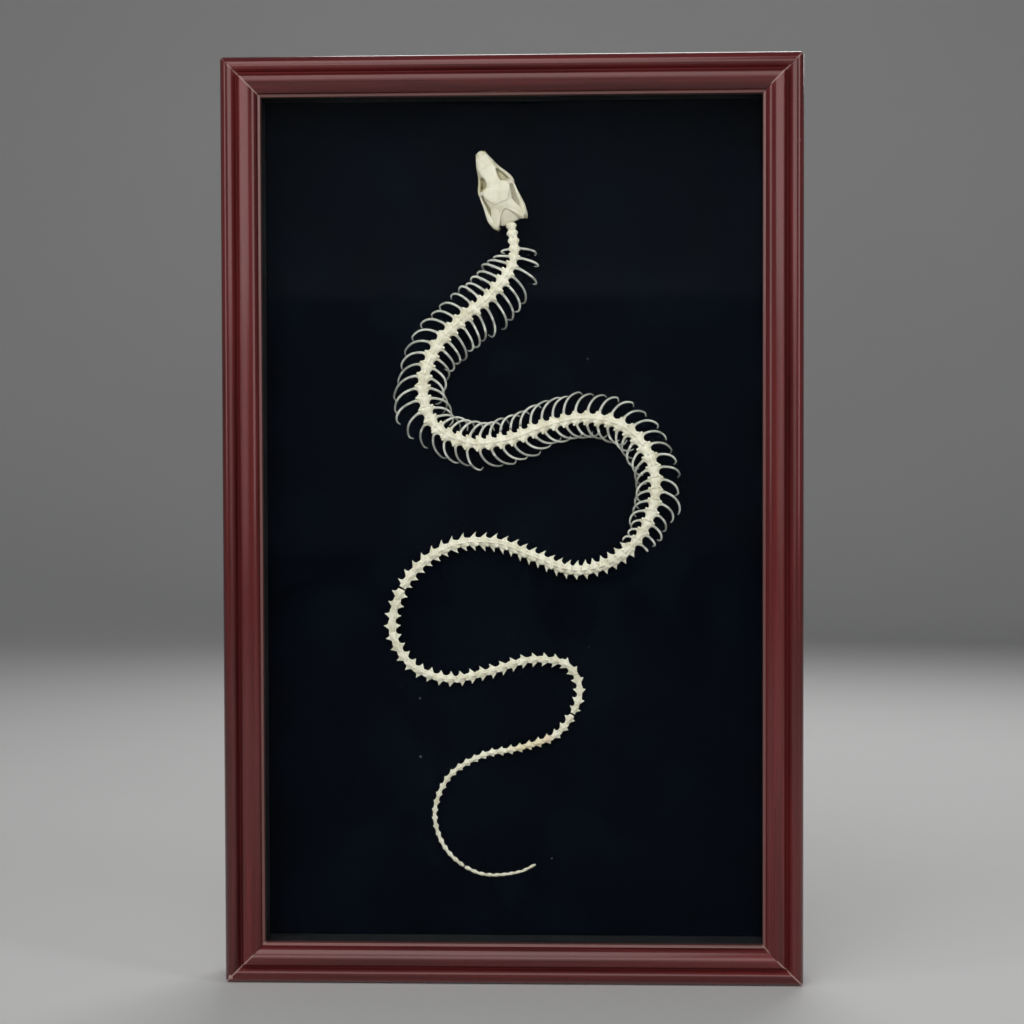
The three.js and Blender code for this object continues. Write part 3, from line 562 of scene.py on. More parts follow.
def trunkBones(name, nodes):
    bm = bmesh.new()
    for start, length in lengthGroup(name):
        middle = start + length / 2
        size = (stationAt(middle, "joint") / trunkSet["joint"] * draw.uniform(0.95, 1.05),
                length / trunkSet["length"] * draw.uniform(0.98, 1.04),
                stationAt(middle, "tall") / trunkSet["tall"] * draw.uniform(0.94, 1.06))
        shapes = neckShapes if start < lengthSet["trunk_front"] + 3 else trunkShapes
        addCopy(bm, draw.choice(shapes), spinePlace(middle, size, unevenTurn(draw, 0.035)))
    return endPiece(name, bm, spineBone, nodes)


def tailBones(name):
    bm = bmesh.new()
    group = lengthGroup(name)
    for start, length in group:
        if start == group[-1][0]:
            length -= tailSet["parting"].get(name, 0)
        middle = start + length / 2
        joint = stationAt(middle, "joint") / tailSet["joint"]
        spare = stationAt(middle, "reach") - stationAt(middle, "joint")
        grown = spare / (tailSet["reach"] - tailSet["joint"])
        first = len(bm.verts)
        size = (1, length / tailSet["length"] * draw.uniform(0.97, 1.02),
                stationAt(middle, "tall") / tailSet["tall"])
        addCopy(bm, draw.choice(tailShapes), Matrix.Identity(4))
        bm.verts.ensure_lookup_table()
        verts = bm.verts[first:]
        lean = stationAt(middle, "lean") * tailSet["leanGain"]
        for vert in verts:
            # the body takes the joint's width, and the side spines what the tail has left for them
            wide = abs(vert.co.x)
            vert.co.y += lean * max(wide - tailSet["leanRoot"], 0) ** tailSet["leanPower"]
            beyond = max(wide - tailSet["joint"], 0)
            wide = min(wide, tailSet["joint"]) * joint + beyond * max(grown, 0.1)
            vert.co.x = math.copysign(wide, vert.co.x)
        bmesh.ops.transform(bm, matrix=spinePlace(middle, size, unevenTurn(draw, 0.05)), verts=verts)
    return endPiece(name, bm, spineBone, [name])


# Ribs: by distance behind the skull, how far out and how far to the rear those of each side go
ribRows = {
    "right": [
        (10, 8.2, 2.5), (14, 9.9, 1.8), (17, 11, 2.5), (21, 12, 7.4), (32, 12.4, 7), (45, 12, 5.6),
        (58, 11.6, 5.6), (67, 9, 6.6), (76, 9.2, 9.6), (95, 9.3, 9), (114, 9, 8.5), (121, 8.8, 8.5),
        (130, 9.2, 10), (139, 9.7, 11.3), (148, 9.7, 9.1), (157, 9.5, 8.7), (166, 10.1, 7), (176, 9.3, 9),
        (185, 9, 9), (194, 9.4, 6.4), (200, 9.8, 6), (204, 9.2, 8.5), (208, 10.4, 9.5), (212, 9, 7),
        (217, 7.7, 5.8), (221, 8.1, 5), (225, 7.2, 2.6), (229, 6.3, 0.6), (233, 5.4, 1.4),
    ],
    "left": [
        (10, 5, 1.2), (14, 8.4, 2), (17, 10, 3), (21, 10.5, 4), (32, 10.6, 4.5), (45, 10.5, 6.5),
        (58, 10.5, 9), (71, 10.1, 12), (80, 11.8, 10), (85, 12.6, 9), (89, 10.9, 9.8), (94, 8.8, 8),
        (98, 8, 10.2), (112, 9.8, 7.8), (121, 9.2, 9.4), (130, 9.1, 8.8), (139, 8.2, 9.4), (150, 8, 9.5),
        (170, 8.3, 9.4), (185, 8.8, 9), (194, 8.6, 8.5), (203, 8.2, 8.3), (212, 7.6, 8), (217, 6.9, 7.8),
        (221, 5.2, 4.6), (225, 4.6, 4.2), (229, 4.6, 3.6), (233, 5, 2.8),
    ],
}
# Rib: its way turns from outward (0) to the rear (90), and at the tip inward, given along its length.
# The second angle is for ribs on the inside of a tight bend, which curl under the spine.
ribSet = {
    "turns": [(0, 12, 8), (0.25, 34, 34), (0.45, 54, 64), (0.68, 76, 96), (0.84, 88, 140), (0.9, 118, 155),
              (1, 160, 172)],
    "tightBend": 0.45, "bendReach": 6,
    "steps": 16, "sides": 7, "place": 0.26, "rootDepth": 1.4, "rootRise": 0.3, "tipRise": 0.6,
    "fullReach": 8, "dropPower": 1.7,
    "thickness": [(0.6, 0.6), (0.52, 0.5), (0.47, 0.45), (0.46, 0.43), (0.45, 0.42), (0.44, 0.4),
                  (0.41, 0.37), (0.36, 0.33), (0.24, 0.24)],
    "unlikeHooks": (0.3, 1.25), "unlikeCurls": (0.6, 1.0),
}


def ribLine(steps, hook, curl):
    # the way of a rib of unit reach and unit sweep
    out, behind = [0.0], [0.0]
    for step in range(steps):
        plain, curled = [listedAt(ribSet["turns"], (step + 0.5) / steps, column) for column in (1, 2)]
        degrees = plain + (curled - plain) * curl
        angle = math.radians(degrees if degrees < 90 else 90 + (degrees - 90) * hook)
        out.append(out[-1] + math.cos(angle))
        behind.append(behind[-1] + math.sin(angle))
    return [(a / max(out), b / max(behind)) for a, b in zip(out, behind)]


def insideBend(distance, sign):
    # how far this side lies on the inside of a tight bend, up to 1
    before = spineFrame(distance - ribSet["bendReach"])[2]
    after = spineFrame(distance + ribSet["bendReach"])[2]
    turned = sign * (before - after).dot(spineFrame(distance)[1])
    return min(max(turned / ribSet["tightBend"], 0), 1)


def addRib(bm, start, length, side, sign):
    at = start + ribSet["place"] * length
    reach = listedAt(ribRows[side], at, 1) * draw.uniform(0.95, 1.05)
    sweepBack = listedAt(ribRows[side], at, 2) * draw.uniform(0.9, 1.08)
    size = min(1, reach / ribSet["fullReach"])
    root = stationAt(at, "joint") - ribSet["rootDepth"]
    drop = (stationAt(at, "rise") - ribSet["tipRise"]) * size ** 2
    point, right, ahead = spineFrame(at)
    steps = ribSet["steps"]
    points = []
    curl = insideBend(at, sign) * draw.uniform(*ribSet["unlikeCurls"])
    hook = draw.uniform(*ribSet["unlikeHooks"])
    for step, (out, behind) in enumerate(ribLine(steps, hook, curl)):
        down = ribSet["rootRise"] + (drop - ribSet["rootRise"]) * (step / steps) ** ribSet["dropPower"]
        across = root + (reach - root) * out
        points.append(point + sign * across * right - ahead * sweepBack * behind - toFront * down)
    thick = smoothRows(ribSet["thickness"], steps)
    slim = 0.7 + 0.3 * size
    widths = [row[0] * slim for row in thick]
    sweep(bm, placesAlong(points, widths, [row[1] * slim for row in thick], toFront), ribSet["sides"])


def ribsOf(name, side, sign):
    bm = bmesh.new()
    for start, length in lengthGroup(name):
        if start + length > ribRows[side][0][0]:
            addRib(bm, start, length, side, sign)
    return endPiece(f"ribs_{name[6:]}_{side}", turnOut(bm), ribBone, [f"{name}_{side}"])


trunkBones("neck", ["neck"])
for name in ("trunk_front", "trunk_middle", "trunk_rear"):
    trunkBones(name, [f"{name}_left", f"{name}_right"])
    ribsOf(name, "left", -1)
    ribsOf(name, "right", 1)
for name in list(lengthSet)[4:]:
    tailBones(name)
print("spine and ribs ready")

# Skull: rows give distance behind the snout, offset to the side, height, half width and half thickness
skullSet = {
    "snout": (-12.9, 150.3), "condyle": (-0.5, 120.8), "roll": math.radians(7), "lift": 0.9, "middle": 4.6,
    "grain": 0.17, "rounds": 2,
    "aside": (-0.65, 7, 12),   # the snout stands to one side up to a distance, and then less up to the next
    "nose": [(0.55, 0, 4.3, 0.35, 0.3), (0.75, 0, 4.35, 0.95, 0.6), (1.1, 0, 4.4, 1.4, 0.85),
             (1.7, 0, 4.5, 1.85, 1.1), (2.6, 0, 4.7, 2.35, 1.35), (3.8, 0, 4.9, 2.9, 1.6),
             (6, 0, 5.2, 3.5, 1.9), (8.5, 0, 5.6, 4.1, 2.2), (10.6, 0, 6.0, 4.2, 2.1)],
    "brow": [(8, 0, 6.9, 3.6, 1.0), (10, 0, 7.5, 3.35, 0.85), (12.4, 0, 7.9, 2.85, 0.75),
             (14.8, 0, 8.15, 3.0, 0.75), (16.4, 0, 8.2, 4.6, 0.8), (17.8, 0, 8.2, 5.6, 0.85)],
    "roof": [(15.8, 0, 8.1, 4.2, 0.7), (17, 0, 8.25, 5.9, 0.85), (20, -0.3, 8.2, 5.7, 1.0),
             (23.5, -0.35, 7.8, 4.9, 1.1), (26.2, -0.3, 7.3, 4.4, 0.9)],
    "shield": [(16.4, 0, 8.8, 4.6, 0.3), (17.4, 0, 8.95, 5.7, 0.38), (19.5, 0, 9.05, 5.4, 0.42),
               (22, 0, 9.0, 4.0, 0.4), (23.4, 0, 8.8, 2.9, 0.3)],
    "case": [(15, 0, 5.8, 1.0, 1.4), (19, 0, 5.8, 2.4, 2.0), (24, 0, 5.5, 3.2, 2.2), (28, 0, 5.2, 4.8, 2.0),
             (31, 0, 4.9, 5.0, 1.4), (32.2, 0, 4.8, 3.4, 0.8)],
    "condyleKnob": [(31.4, 0, 4.3, 1.5, 0.9), (32.6, 0, 4.2, 1.1, 0.7)],
    "horn": [(22, 2.7, 7.9, 2.2, 0.9), (25, 3.1, 7.7, 2.0, 0.8), (28, 4.3, 7.3, 1.9, 0.75),
             (31, 5.4, 6.7, 1.3, 0.7), (32.5, 5.7, 6.2, 0.8, 0.5)],
    "hornShift": -0.3,
    "hornRidge": [(25.8, 0.6, 7.8, 0.4, 0.4), (28.4, 3.0, 7.8, 0.45, 0.4), (31.8, 5.4, 7.0, 0.5, 0.4)],
    "arch": [(16.6, 6.8, 6.4, 0.6, 0.6), (19, 7.2, 6.6, 0.55, 0.7), (22.5, 7.2, 6.9, 0.65, 0.75),
             (26, 7.35, 7.0, 0.9, 0.8), (28.4, 7.1, 6.9, 1.25, 0.8), (31.4, 6.3, 6.5, 1.1, 0.7)],
    "browStrut": [(17.4, 7.1, 5.2, 0.75, 0.75), (17.1, 6.8, 6.7, 0.85, 0.7), (17.3, 5.2, 8.2, 1.0, 0.6)],
    "cheek": [(5, 2.9, 4.3, 0.6, 1.0), (9, 4.0, 4.3, 0.7, 1.2), (12, 5.3, 4.3, 0.75, 1.0),
              (15.2, 6.9, 4.6, 0.75, 0.9), (17.6, 7.2, 5.4, 0.7, 0.8)],
    "palate": [(9, 2.2, 3.9, 1.2, 0.35), (12, 3.0, 3.8, 1.5, 0.35), (15.5, 3.8, 3.8, 1.7, 0.35),
               (18, 4.3, 3.8, 1.2, 0.4), (24, 4.7, 3.9, 0.8, 0.45), (31, 6.2, 4.3, 0.6, 0.5)],
    "templeFloor": [(16.5, 5.4, 3.9, 0.8, 0.3), (22, 5.9, 4.0, 1.0, 0.3), (28.5, 6.2, 4.3, 0.9, 0.35)],
    "palateStrut": [(16.6, 3.5, 3.8, 0.8, 0.35), (15.8, 5.2, 3.9, 0.8, 0.35), (15.6, 6.8, 4.5, 0.7, 0.4)],
    "hanger": [(29.8, 6.7, 7.0, 1.2, 1.1), (30.2, 6.9, 5.6, 1.05, 1.1), (31.5, 6.4, 4.2, 1.2, 1.2)],
    "keel": [(9, 0, 4.6, 0.8, 0.6), (13, 0, 4.8, 0.5, 0.7), (17.5, 0, 5.2, 0.9, 0.8)],
    # bones on the middle line: steps, sides and how square they are
    "single": {"nose": (18, 20, 0.8), "brow": (14, 18, 0.8), "roof": (14, 20, 0.8), "shield": (12, 18, 0.7),
               "case": (14, 18, 0.9), "condyleKnob": (4, 12, 1.0), "keel": (6, 8, 1.0)},
    "paired": ("hornRidge", "arch", "browStrut", "cheek", "palate", "templeFloor", "palateStrut", "hanger"),
    "nostril": (2.2, 1.35, 5.6), "nostrilRadius": 1.0, "nostrilDepth": 0.5,
}
skullWay = [end - start for start, end in zip(skullSet["snout"], skullSet["condyle"])]
skullAxis = Vector((skullWay[0], 0, skullWay[1])).normalized()
skullTurn = Matrix.Rotation(skullSet["roll"], 3, skullAxis)
skullUp = skullTurn @ toFront
skullRight = skullTurn @ Vector((-skullAxis.z, 0, skullAxis.x))


def skullPoint(row):
    behind, right, rise = row[:3]
    aside, full, none = skullSet["aside"]
    right += aside * min(max((none - behind) / (none - full), 0), 1)
    depth = -caseSet["velvetFront"] - skullSet["lift"] - skullSet["middle"]
    tip = Vector((skullSet["snout"][0], depth, windowMiddle + skullSet["snout"][1]))
    return tip + skullAxis * behind + skullRight * right + skullUp * (rise - skullSet["middle"])


def skullBar(bm, rows, **options):
    boneBar(bm, rows, over=skullUp, toPoint=skullPoint, **options)


def skullPair(bm, rows, shift=0.0, **options):
    for sign in (-1, 1):
        skullBar(bm, [(row[0], sign * row[1] + shift, *row[2:]) for row in rows], **options)


def pushIn(bm, centre, radius, depth, direction):
    # a soft dent in what is there
    for vert in bm.verts:
        near = 1 - (vert.co - centre).length / radius
        if near > 0:
            vert.co -= direction * depth * near * near * (3 - 2 * near)


bm = bmesh.new()
for bone, (steps, sides, roundness) in skullSet["single"].items():
    skullBar(bm, skullSet[bone], steps=steps, sides=sides, roundness=roundness)
skullPair(bm, skullSet["horn"], shift=skullSet["hornShift"], steps=12, sides=12)
for bone in skullSet["paired"]:
    skullPair(bm, skullSet[bone], steps=12, sides=12)
bm = fused(bm, skullSet["grain"], skullSet["rounds"])
for sign in (-1, 1):
    behind, aside, rise = skullSet["nostril"]
    direction = (skullUp + skullRight * sign * 0.5 - skullAxis * 0.4).normalized()
    nostril = skullPoint((behind, sign * aside, rise))
    pushIn(bm, nostril, skullSet["nostrilRadius"], skullSet["nostrilDepth"], direction)

# Upper teeth along the rim of the snout and the cheek
toothSet = {
    "rim": [(1.2, 1.9, 3.7), (5, 3, 3.6), (9, 3.9, 3.7), (13.6, 5.6, 3.9)],
    "count": 14, "radius": 0.3, "length": 1.25,
    "taper": (1, 0.8, 0.2),  # radius at the root, halfway and at the tip
}
rim = smoothRows(toothSet["rim"], toothSet["count"] - 1)
for row in rim:
    for sign in (-1, 1):
        root = (row[0], sign * row[1], row[2] + 0.3)
        tip = (row[0] + 0.25, sign * (row[1] - 0.05), row[2] - toothSet["length"] * draw.uniform(0.8, 1.05))
        points = [skullPoint(root), skullPoint([(a + b) / 2 for a, b in zip(root, tip)]), skullPoint(tip)]
        radii = [toothSet["radius"] * share for share in toothSet["taper"]]
        sweep(bm, placesAlong(points, radii, radii, skullAxis), 8)
endPiece("skull", turnOut(bm), skullBone, ["skull"])

jawSet = {
    "grain": 0.22, "rounds": 1,
    "half": [(32.6, 5.8, 2.2, 0.9, 0.9), (31, 6.4, 2.3, 0.85, 1.1), (28, 6.8, 2.2, 0.75, 1.4),
             (22, 6.8, 2.2, 0.7, 1.5), (17, 6.0, 2.0, 0.65, 1.3), (11, 3.9, 1.8, 0.55, 1.0),
             (5, 2.2, 1.8, 0.5, 0.9), (1.8, 1.2, 1.9, 0.5, 0.8), (1.0, 0.4, 1.95, 0.5, 0.75)],
}
bm = bmesh.new()
skullPair(bm, jawSet["half"], steps=34, sides=12)
bm = fused(bm, jawSet["grain"], jawSet["rounds"])
endPiece("lowerJaw", turnOut(bm), skullBone, ["lower_jaw"])
print("skull ready")

# Case rails: the section as inward distance and forward distance from the wall
railSet = {
    "width": 16.2, "wall": 11.5, "back": 1.5, "lipBack": 25.5, "cornerRadius": 2.3, "mitreGap": 0.06,
    "face": [(0, 31.4, 3.8), (5.3, 31.3, 1.4), (6.7, 29.3, 0.9), (8.2, 33.0, 0.5), (12.6, 32.4, 2.2),
             (15.0, 30.0, 0.5), (15.15, 29.3, 0.1), (16.2, 29.2, 0.3)],
    # the dull cove, the inner lip painted lighter as a painted highlight on its bead and wear, and the mitre
    # wear
    "dull": (5.0, 8.1), "lipWearAndHighlight": (15.2, 16.4), "mitreWear": 0.36,
    "dark": (0.02, 0.002, 0.0025, 1), "light": (0.17, 0.018, 0.019, 1), "bareAndHighlight": (0.5, 0.33, 0.29, 1),
    # chips: place, radius, raggedness
    "chips": [((112.6, -28.5, windowMiddle + 150.5), 2.6, 3.2), ((-113.5, -31, windowMiddle - 183), 1.2, 2.0),
              ((-103.5, -31, windowMiddle - 172.5), 1.0, 1.6)],
    "easedEdge": 0.12,
}


def railCorners():
    # corners of the section, each with the radius that rounds it
    r = railSet
    behind = [(r["width"], r["lipBack"], 0.1), (r["wall"], r["lipBack"], 0.1), (r["wall"], r["back"], 0.3)]
    return [(0, r["back"], 0.6), *r["face"], *behind]


def railSectionFace(bm):
    corners = railCorners()
    verts = [bm.verts.new((0, -forward, -inward)) for inward, forward, _ in corners]
    bm.faces.new(verts)
    for vert, (_, _, radius) in zip(verts, corners):
        segments = 10 if radius > 1 else 3
        bmesh.ops.bevel(bm, geom=[vert], affect="VERTICES", offset=radius * 0.98, offset_type="OFFSET",
                        segments=segments, profile=0.5, material=-1, clamp_overlap=True)
    return bm.faces[:]


def cutCorners(bm, low, high, radius):
    # the case's outer corners, rounded by planes that touch the arc
    for sx in (-1, 1):
        for sz in (-1, 1):
            centre = Vector((sx * (high[0] - radius), 0, (high[1] - radius) if sz > 0 else (low[1] + radius)))
            for degrees in (9, 27, 45, 63, 81):
                angle = math.radians(degrees)
                normal = Vector((sx * math.cos(angle), 0, sz * math.sin(angle)))
                cut = bmesh.ops.bisect_plane(
                    bm, geom=bm.verts[:] + bm.edges[:] + bm.faces[:], dist=0.0001,
                    plane_co=centre + normal * radius, plane_no=normal, clear_outer=True)
                edges = [part for part in cut["geom_cut"] if isinstance(part, bmesh.types.BMEdge)]
                if edges:
                    bmesh.ops.holes_fill(bm, edges=edges, sides=0)


def addRail(name, node, length, distance, turn, material):
    bm = bmesh.new()
    faces = railSectionFace(bm)
    bmesh.ops.translate(bm, vec=(-length / 2, 0, 0), verts=bm.verts)
    grown = bmesh.ops.extrude_face_region(bm, geom=faces)
    bmesh.ops.translate(bm, vec=(length, 0, 0), verts=vertsOf(grown))
    for vert in bm.verts:
        vert.co.x = math.copysign(length / 2 + vert.co.z - railSet["mitreGap"], vert.co.x)  # mitred ends
    bmesh.ops.translate(bm, vec=(0, 0, distance), verts=bm.verts)
    bmesh.ops.rotate(bm, cent=(0, 0, 0), matrix=Matrix.Rotation(turn, 3, "Y"), verts=bm.verts)
    half = (caseSet["width"] / 2, caseSet["height"] / 2)
    cutCorners(bm, (-half[0], -half[1]), half, railSet["cornerRadius"])
    bmesh.ops.translate(bm, vec=(0, 0, windowMiddle), verts=bm.verts)
    turnOut(bm)
    piece = endPiece(name, bm, material, [node])
    soft = piece.modifiers.new("softEdges", "BEVEL")
    soft.width = railSet["easedEdge"] * mm
    soft.segments = 2
    soft.limit_method = "ANGLE"
    soft.angle_limit = math.radians(35)
    soft.harden_normals = True


def bandMask(tree, value, low, high, soft):
    # 1 where a length in metres lies between two lengths in millimetres
    off = reckon(tree, "ABSOLUTE", reckon(tree, "SUBTRACT", value, (low + high) / 2 * mm))
    return spread(tree, off, ((high - low) / 2 + soft) * mm, ((high - low) / 2 - soft) * mm)


def woodMaterial(name, turn):
    material, tree, place = newMaterial(name, IOR=1.5, Coat_Roughness=0.15, Specular_IOR_Level=0.5,
                                        Specular_Tint=(1.0, 0.4, 0.38, 1))
    longways = addNode(tree, "Mapping", {"Vector": place, "Rotation": (0.0, turn, 0.0)}).outputs[0]
    grain = useGroup(material, woodGrain, Place=longways, Dark=railSet["dark"], Light=railSet["light"])
    # how far in from the case's outer faces: across the rail, and along the mitre
    apart = addNode(tree, "SeparateXYZ", {0: place}).outputs
    side = reckon(tree, "SUBTRACT", caseSet["width"] / 2 * mm, reckon(tree, "ABSOLUTE", apart["X"]))
    fromMiddle = reckon(tree, "ABSOLUTE", reckon(tree, "SUBTRACT", apart["Z"], windowMiddle * mm))
    above = reckon(tree, "SUBTRACT", caseSet["height"] / 2 * mm, fromMiddle)
    inward = reckon(tree, "MINIMUM", side, above)
    dull = bandMask(tree, inward, *railSet["dull"], 0.3)
    front = spread(tree, apart["Y"], -24 * mm, -27 * mm)
    rubbed = spread(tree, noise(tree, place, 140.0, 3.0), 0.44, 0.56)
    aslant = reckon(tree, "SUBTRACT", side, above)
    mitre = bandMask(tree, aslant, -railSet["mitreWear"], railSet["mitreWear"], 0.15)
    # the inner lip painted lighter along its whole length: painted highlight on the bead, partly wear
    lip = scaled(tree, bandMask(tree, inward, *railSet["lipWearAndHighlight"], 0.1), 0.22)
    lighterEdges = reckon(tree, "MAXIMUM", lip, reckon(tree, "MULTIPLY", mitre, rubbed))
    bareAndHighlight = reckon(tree, "MULTIPLY", lighterEdges, front)
    for centre, radius, ragged in railSet["chips"]:
        bareAndHighlight = reckon(tree, "MAXIMUM", bareAndHighlight, patchMask(tree, place, centre, radius, ragged, 900.0))
    # bare wood of chips and worn mitres, and the lip's painted highlight, share one pale colour
    colour = mixColour(tree, bareAndHighlight, grain["Colour"], railSet["bareAndHighlight"])
    rough = reckon(tree, "ADD", grain["Roughness"], scaled(tree, reckon(tree, "MAXIMUM", bareAndHighlight, dull), 0.35))
    feed(tree, colour, rough, reckon(tree, "SUBTRACT", grain["Height"], bareAndHighlight), 0.08, 0.0001)
    gloss = reckon(tree, "SUBTRACT", 0.75, scaled(tree, dull, 0.7))
    tree.links.new(gloss, tree.nodes["Principled BSDF"].inputs["Coat Weight"])
    return material


quarter = math.pi / 2
uprightWood = woodMaterial("uprightWood", 0.0)
crossWood = woodMaterial("crossWood", quarter)
addRail("railTop", "rail_top", caseSet["width"], caseSet["height"] / 2, 0, crossWood)
addRail("railRight", "rail_right", caseSet["height"], caseSet["width"] / 2, quarter, uprightWood)
addRail("railBottom", "rail_bottom", caseSet["width"], caseSet["height"] / 2, 2 * quarter, crossWood)
addRail("railLeft", "rail_left", caseSet["height"], caseSet["width"] / 2, 3 * quarter, uprightWood)
print("rails ready")

# Velvet over its board, hardly wavy
velvetSet = {
    "thickness": 3, "wave": 0.12, "columns": 50, "rows": 80, "inset": 11.8,
    "dark": (0.0006, 0.0014, 0.0034, 1), "light": (0.0014, 0.0028, 0.0062, 1),
    "nap": (0.0035, 0.005, 0.009, 1), "dust": (0.35, 0.36, 0.36, 1),
}
velvet, tree, place = newMaterial("velvet", Specular_IOR_Level=0.04, Sheen_Weight=0.08, Sheen_Roughness=0.4,
                                  Sheen_Tint=(0.2, 0.3, 0.5, 1))
nap = noise(tree, place, 4200.0, 4.0)
brushed = noise(tree, place, 38.0, 4.0)
colour = mixColour(tree, spread(tree, brushed, 0.35, 0.7), velvetSet["dark"], velvetSet["light"])
colour = mixColour(tree, scaled(tree, spread(tree, nap, 0.5, 0.8), 0.5), colour, velvetSet["nap"])
dust = useGroup(velvet, dustSpecks, Place=place, Scale=130.0, Amount=0.6)["Mask"]
colour = mixColour(tree, dust, colour, velvetSet["dust"])
feed(tree, colour, spread(tree, nap, 0.3, 0.7, 0.85, 1.0), nap, 0.6)
halfWidth = caseSet["width"] / 2 - velvetSet["inset"]
halfHeight = caseSet["height"] / 2 - velvetSet["inset"]
upright = Matrix.Translation((0, -caseSet["velvetFront"], windowMiddle)) @ Matrix.Rotation(quarter, 4, "X")
bm = bmesh.new()
bmesh.ops.create_grid(bm, x_segments=velvetSet["columns"], y_segments=velvetSet["rows"], size=1,
                      matrix=upright @ Matrix.Diagonal((halfWidth, halfHeight, 1, 1)))
grown = bmesh.ops.extrude_face_region(bm, geom=bm.faces[:])
bmesh.ops.translate(bm, vec=(0, velvetSet["thickness"], 0), verts=vertsOf(grown))
for vert in bm.verts:
    if vert.co.y < -caseSet["velvetFront"] + 0.01:
        waves = math.sin(vert.co.x * 0.09) + math.sin(vert.co.z * 0.07 + vert.co.x * 0.02)
        vert.co.y += velvetSet["wave"] * (0.5 + 0.25 * waves)
endPiece("velvetBoard", turnOut(bm), velvet, ["velvet_board"])

# Glass: clear, and open to the light that falls through it
clearGlass, tree, place = newMaterial("clearGlass", Base_Color=(0.97, 0.99, 0.98, 1), Roughness=0.02,
                                      IOR=1.045, Transmission_Weight=1.0)
letThrough = addNode(tree, "BsdfTransparent", {"Color": (0.96, 0.98, 0.97, 1)}).outputs[0]
shadowRay = tree.nodes.new("ShaderNodeLightPath").outputs["Is Shadow Ray"]
both = addNode(tree, "MixShader", {0: shadowRay, 1: tree.nodes["Principled BSDF"].outputs[0], 2: letThrough})
tree.links.new(both.outputs[0], tree.nodes["Material Output"].inputs["Surface"])

# Card, board, metal and rubber
blackCard, tree, place = newMaterial("blackCard", Specular_IOR_Level=0.2)
fibre = noise(tree, place, 900.0, 5.0)
colour = mixColour(tree, fibre, (0.006, 0.007, 0.009, 1), (0.014, 0.015, 0.018, 1))
feed(tree, colour, spread(tree, fibre, 0.3, 0.7, 0.8, 0.95), fibre, 0.3, 0.0001)

hardboard, tree, place = newMaterial("hardboard", Specular_IOR_Level=0.3)
fibre = noise(tree, place, 700.0, 7.0, 0.7)
stain = spread(tree, noise(tree, place, 14.0, 3.0), 0.5, 0.75)
colour = mixColour(tree, fibre, (0.16, 0.095, 0.05, 1), (0.34, 0.22, 0.13, 1))
colour = mixColour(tree, scaled(tree, stain, 0.4), colour, (0.12, 0.07, 0.04, 1))
feed(tree, colour, spread(tree, fibre, 0.3, 0.7, 0.6, 0.85), fibre, 0.4, 0.00015)

zinc, tree, place = newMaterial("zinc", Metallic=1.0)
flake = addNode(tree, "TexVoronoi", {"Vector": place, "Scale": 420.0}).outputs["Color"]
wear = useGroup(zinc, edgeWear, Place=place, Amount=0.8)["Mask"]
shade = addNode(tree, "SeparateColor", {0: flake}).outputs[0]
colour = mixColour(tree, shade, (0.42, 0.43, 0.43, 1), (0.6, 0.61, 0.62, 1))
colour = mixColour(tree, wear, colour, (0.8, 0.8, 0.8, 1))
feed(tree, colour, spread(tree, shade, 0.0, 1.0, 0.3, 0.5), shade, 0.1, 0.00005)

rubber, tree, place = newMaterial("rubber", Specular_IOR_Level=0.3)
grit = noise(tree, place, 2500.0, 4.0)
colour = mixColour(tree, grit, (0.012, 0.012, 0.012, 1), (0.03, 0.03, 0.03, 1))
feed(tree, colour, spread(tree, grit, 0.3, 0.7, 0.7, 0.9), grit, 0.3, 0.0001)


def carryOver(node, material):
    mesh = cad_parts[node].data
    mesh.materials.clear()
    mesh.materials.append(material)


def softenedNode(node, name, material, width):
    # the CAD solid again, merged, its edges eased
    bm = bmesh.new()
    bm.from_mesh(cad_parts[node].data)
    bmesh.ops.scale(bm, vec=(1 / mm, 1 / mm, 1 / mm), verts=bm.verts)
    bmesh.ops.remove_doubles(bm, verts=bm.verts, dist=0.001)
    bmesh.ops.dissolve_limit(bm, angle_limit=math.radians(3), verts=bm.verts, edges=bm.edges)
    sharp = [edge for edge in bm.edges if edge.calc_face_angle(0) > math.radians(40)]
    bmesh.ops.bevel(bm, geom=sharp, affect="EDGES", offset=width, segments=2, profile=0.5, material=-1,
                    clamp_overlap=True)
    endPiece(name, turnOut(bm), material, [node], smooth=False)


carryOver("glass", clearGlass)
for side in ("left", "right", "top", "bottom"):
    carryOver(f"wall_{side}", blackCard)
carryOver("back_board", hardboard)
softenedNode("wall_hanger", "wallHanger", zinc, 0.15)
for side in ("left", "right"):
    softenedNode(f"bumper_{side}", f"{side}Bumper", rubber, 0.25)
    for row in (1, 2, 3):
        softenedNode(f"tab_{side}_{row}", f"{side}Tab{row}", zinc, 0.08)
print("case ready")

# Floor, light and camera
airSet = {"colour": (0.82, 0.84, 0.86, 1), "strength": 0.13}
floorMaterial, tree, place = newMaterial("paleFloor", Roughness=0.7)
feed(tree, mixColour(tree, noise(tree, place, 3.0, 3.0), (0.7, 0.7, 0.69, 1), (0.75, 0.75, 0.74, 1)))
coveSet = {"half": 2.5, "bendStart": 1.5, "radius": 0.7, "rows": 80}
floorHeight = (windowMiddle - caseSet["height"] / 2) * mm
bm = bmesh.new()
bmesh.ops.create_grid(bm, x_segments=2, y_segments=coveSet["rows"], size=coveSet["half"],
                      matrix=Matrix.Translation((0, 0, floorHeight)) @ Matrix.Diagonal((1.4, 1.4, 1, 1)))
for vert in bm.verts:
    # the floor bends up into the wall behind
    beyond = vert.co.y - coveSet["bendStart"]
    if beyond > 0:
        angle = min(beyond / coveSet["radius"], math.pi / 2)
        straight = beyond - angle * coveSet["radius"]
        vert.co.y = coveSet["bendStart"] + coveSet["radius"] * math.sin(angle)
        vert.co.z = floorHeight + coveSet["radius"] * (1 - math.cos(angle)) + straight
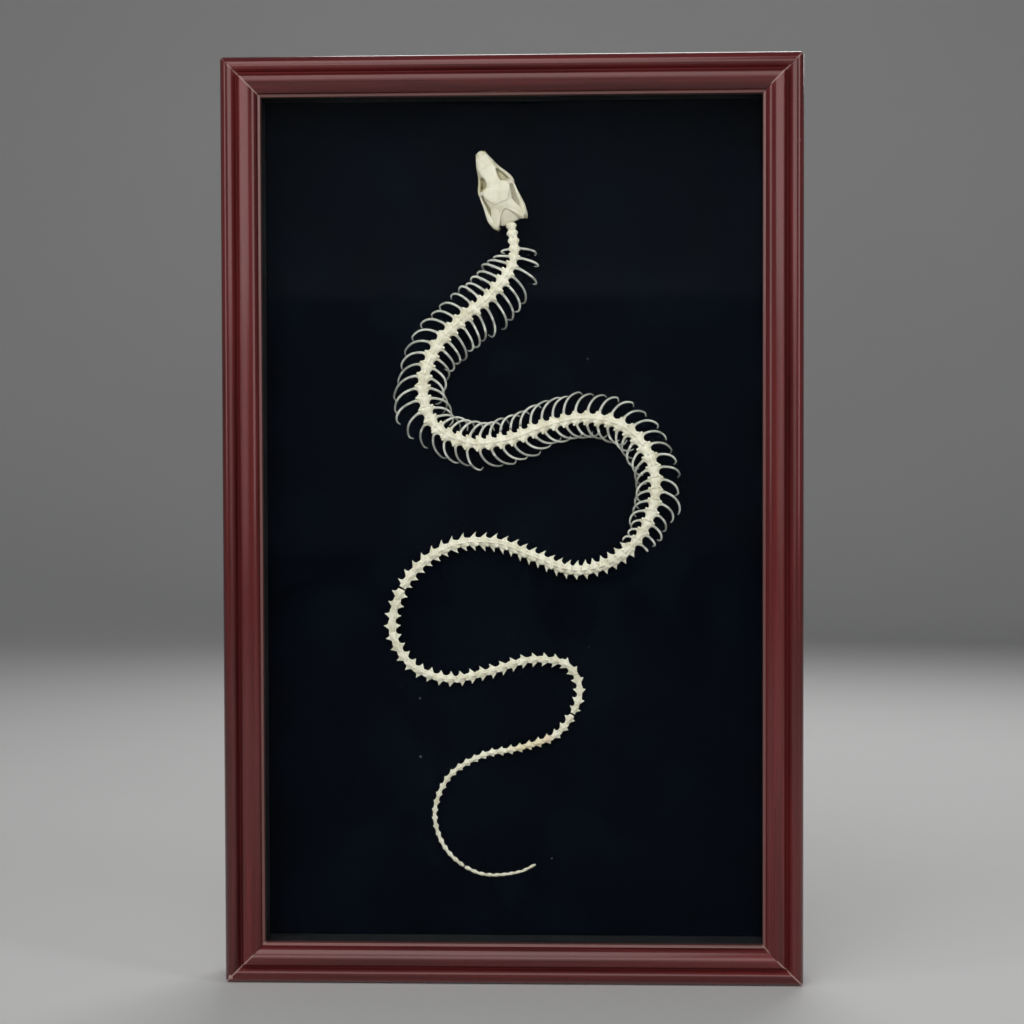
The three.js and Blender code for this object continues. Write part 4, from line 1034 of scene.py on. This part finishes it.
placeMesh("floor", bm, floorMaterial, True)

world = bpy.data.worlds.new("studio")
world.use_nodes = True
setInputs(world.node_tree, world.node_tree.nodes["Background"],
          {"Color": airSet["colour"], "Strength": airSet["strength"]})
bpy.context.scene.world = world

lightSet = {
    "keyBox": {"place": (-0.3, -0.95, 0.75), "size": (1.0, 0.7), "power": 4.8},
    "leftBox": {"place": (-0.95, -0.55, 0.2), "size": (0.25, 0.8), "power": 1.0, "spread": 150},
    "rightBox": {"place": (0.95, -0.6, 0.25), "size": (0.3, 1.0), "power": 1.6, "spread": 150},
    "upperBox": {"place": (0.02, -1.5, 0.26), "size": (1.6, 0.46), "power": 4.6},
    "lowerBox": {"place": (0.02, -1.5, -0.1), "size": (1.6, 0.32), "power": 0.15, "spread": 60},
    "backBox": {"place": (0.2, 0.9, 0.5), "size": (0.9, 0.6), "power": 5},
}
target = Vector((0, 0, windowMiddle * mm))
for name, given in lightSet.items():
    light = bpy.data.lights.new(name, "AREA")
    light.shape = "RECTANGLE"
    light.size, light.size_y = given["size"]
    light.energy = given["power"]
    light.spread = math.radians(given.get("spread", 180))
    lamp = bpy.data.objects.new(name, light)
    lamp.visible_camera = False
    lamp.location = given["place"]
    lamp.rotation_euler = (target - lamp.location).to_track_quat("-Z", "Y").to_euler()
    bpy.context.scene.collection.objects.link(lamp)

cameraSet = {
    "place": (0.030207, -0.82528, -0.15316), "forward": (-0.037724, 0.998959, -0.025637),
    "roll": -0.16, "lens": 70.3125,
}
camera = bpy.data.cameras.new("camera")
camera.lens = cameraSet["lens"]
camera.sensor_width = 36
camera.clip_start, camera.clip_end = 0.01, 20
eye = bpy.data.objects.new("camera", camera)
eye.location = cameraSet["place"]
looking = Vector(cameraSet["forward"]).to_track_quat("-Z", "Y").to_matrix()
eye.rotation_euler = (looking @ Matrix.Rotation(math.radians(cameraSet["roll"]), 3, "Z")).to_euler()
bpy.context.scene.collection.objects.link(eye)
bpy.context.scene.camera = eye
bpy.context.scene.view_settings.view_transform = "Standard"
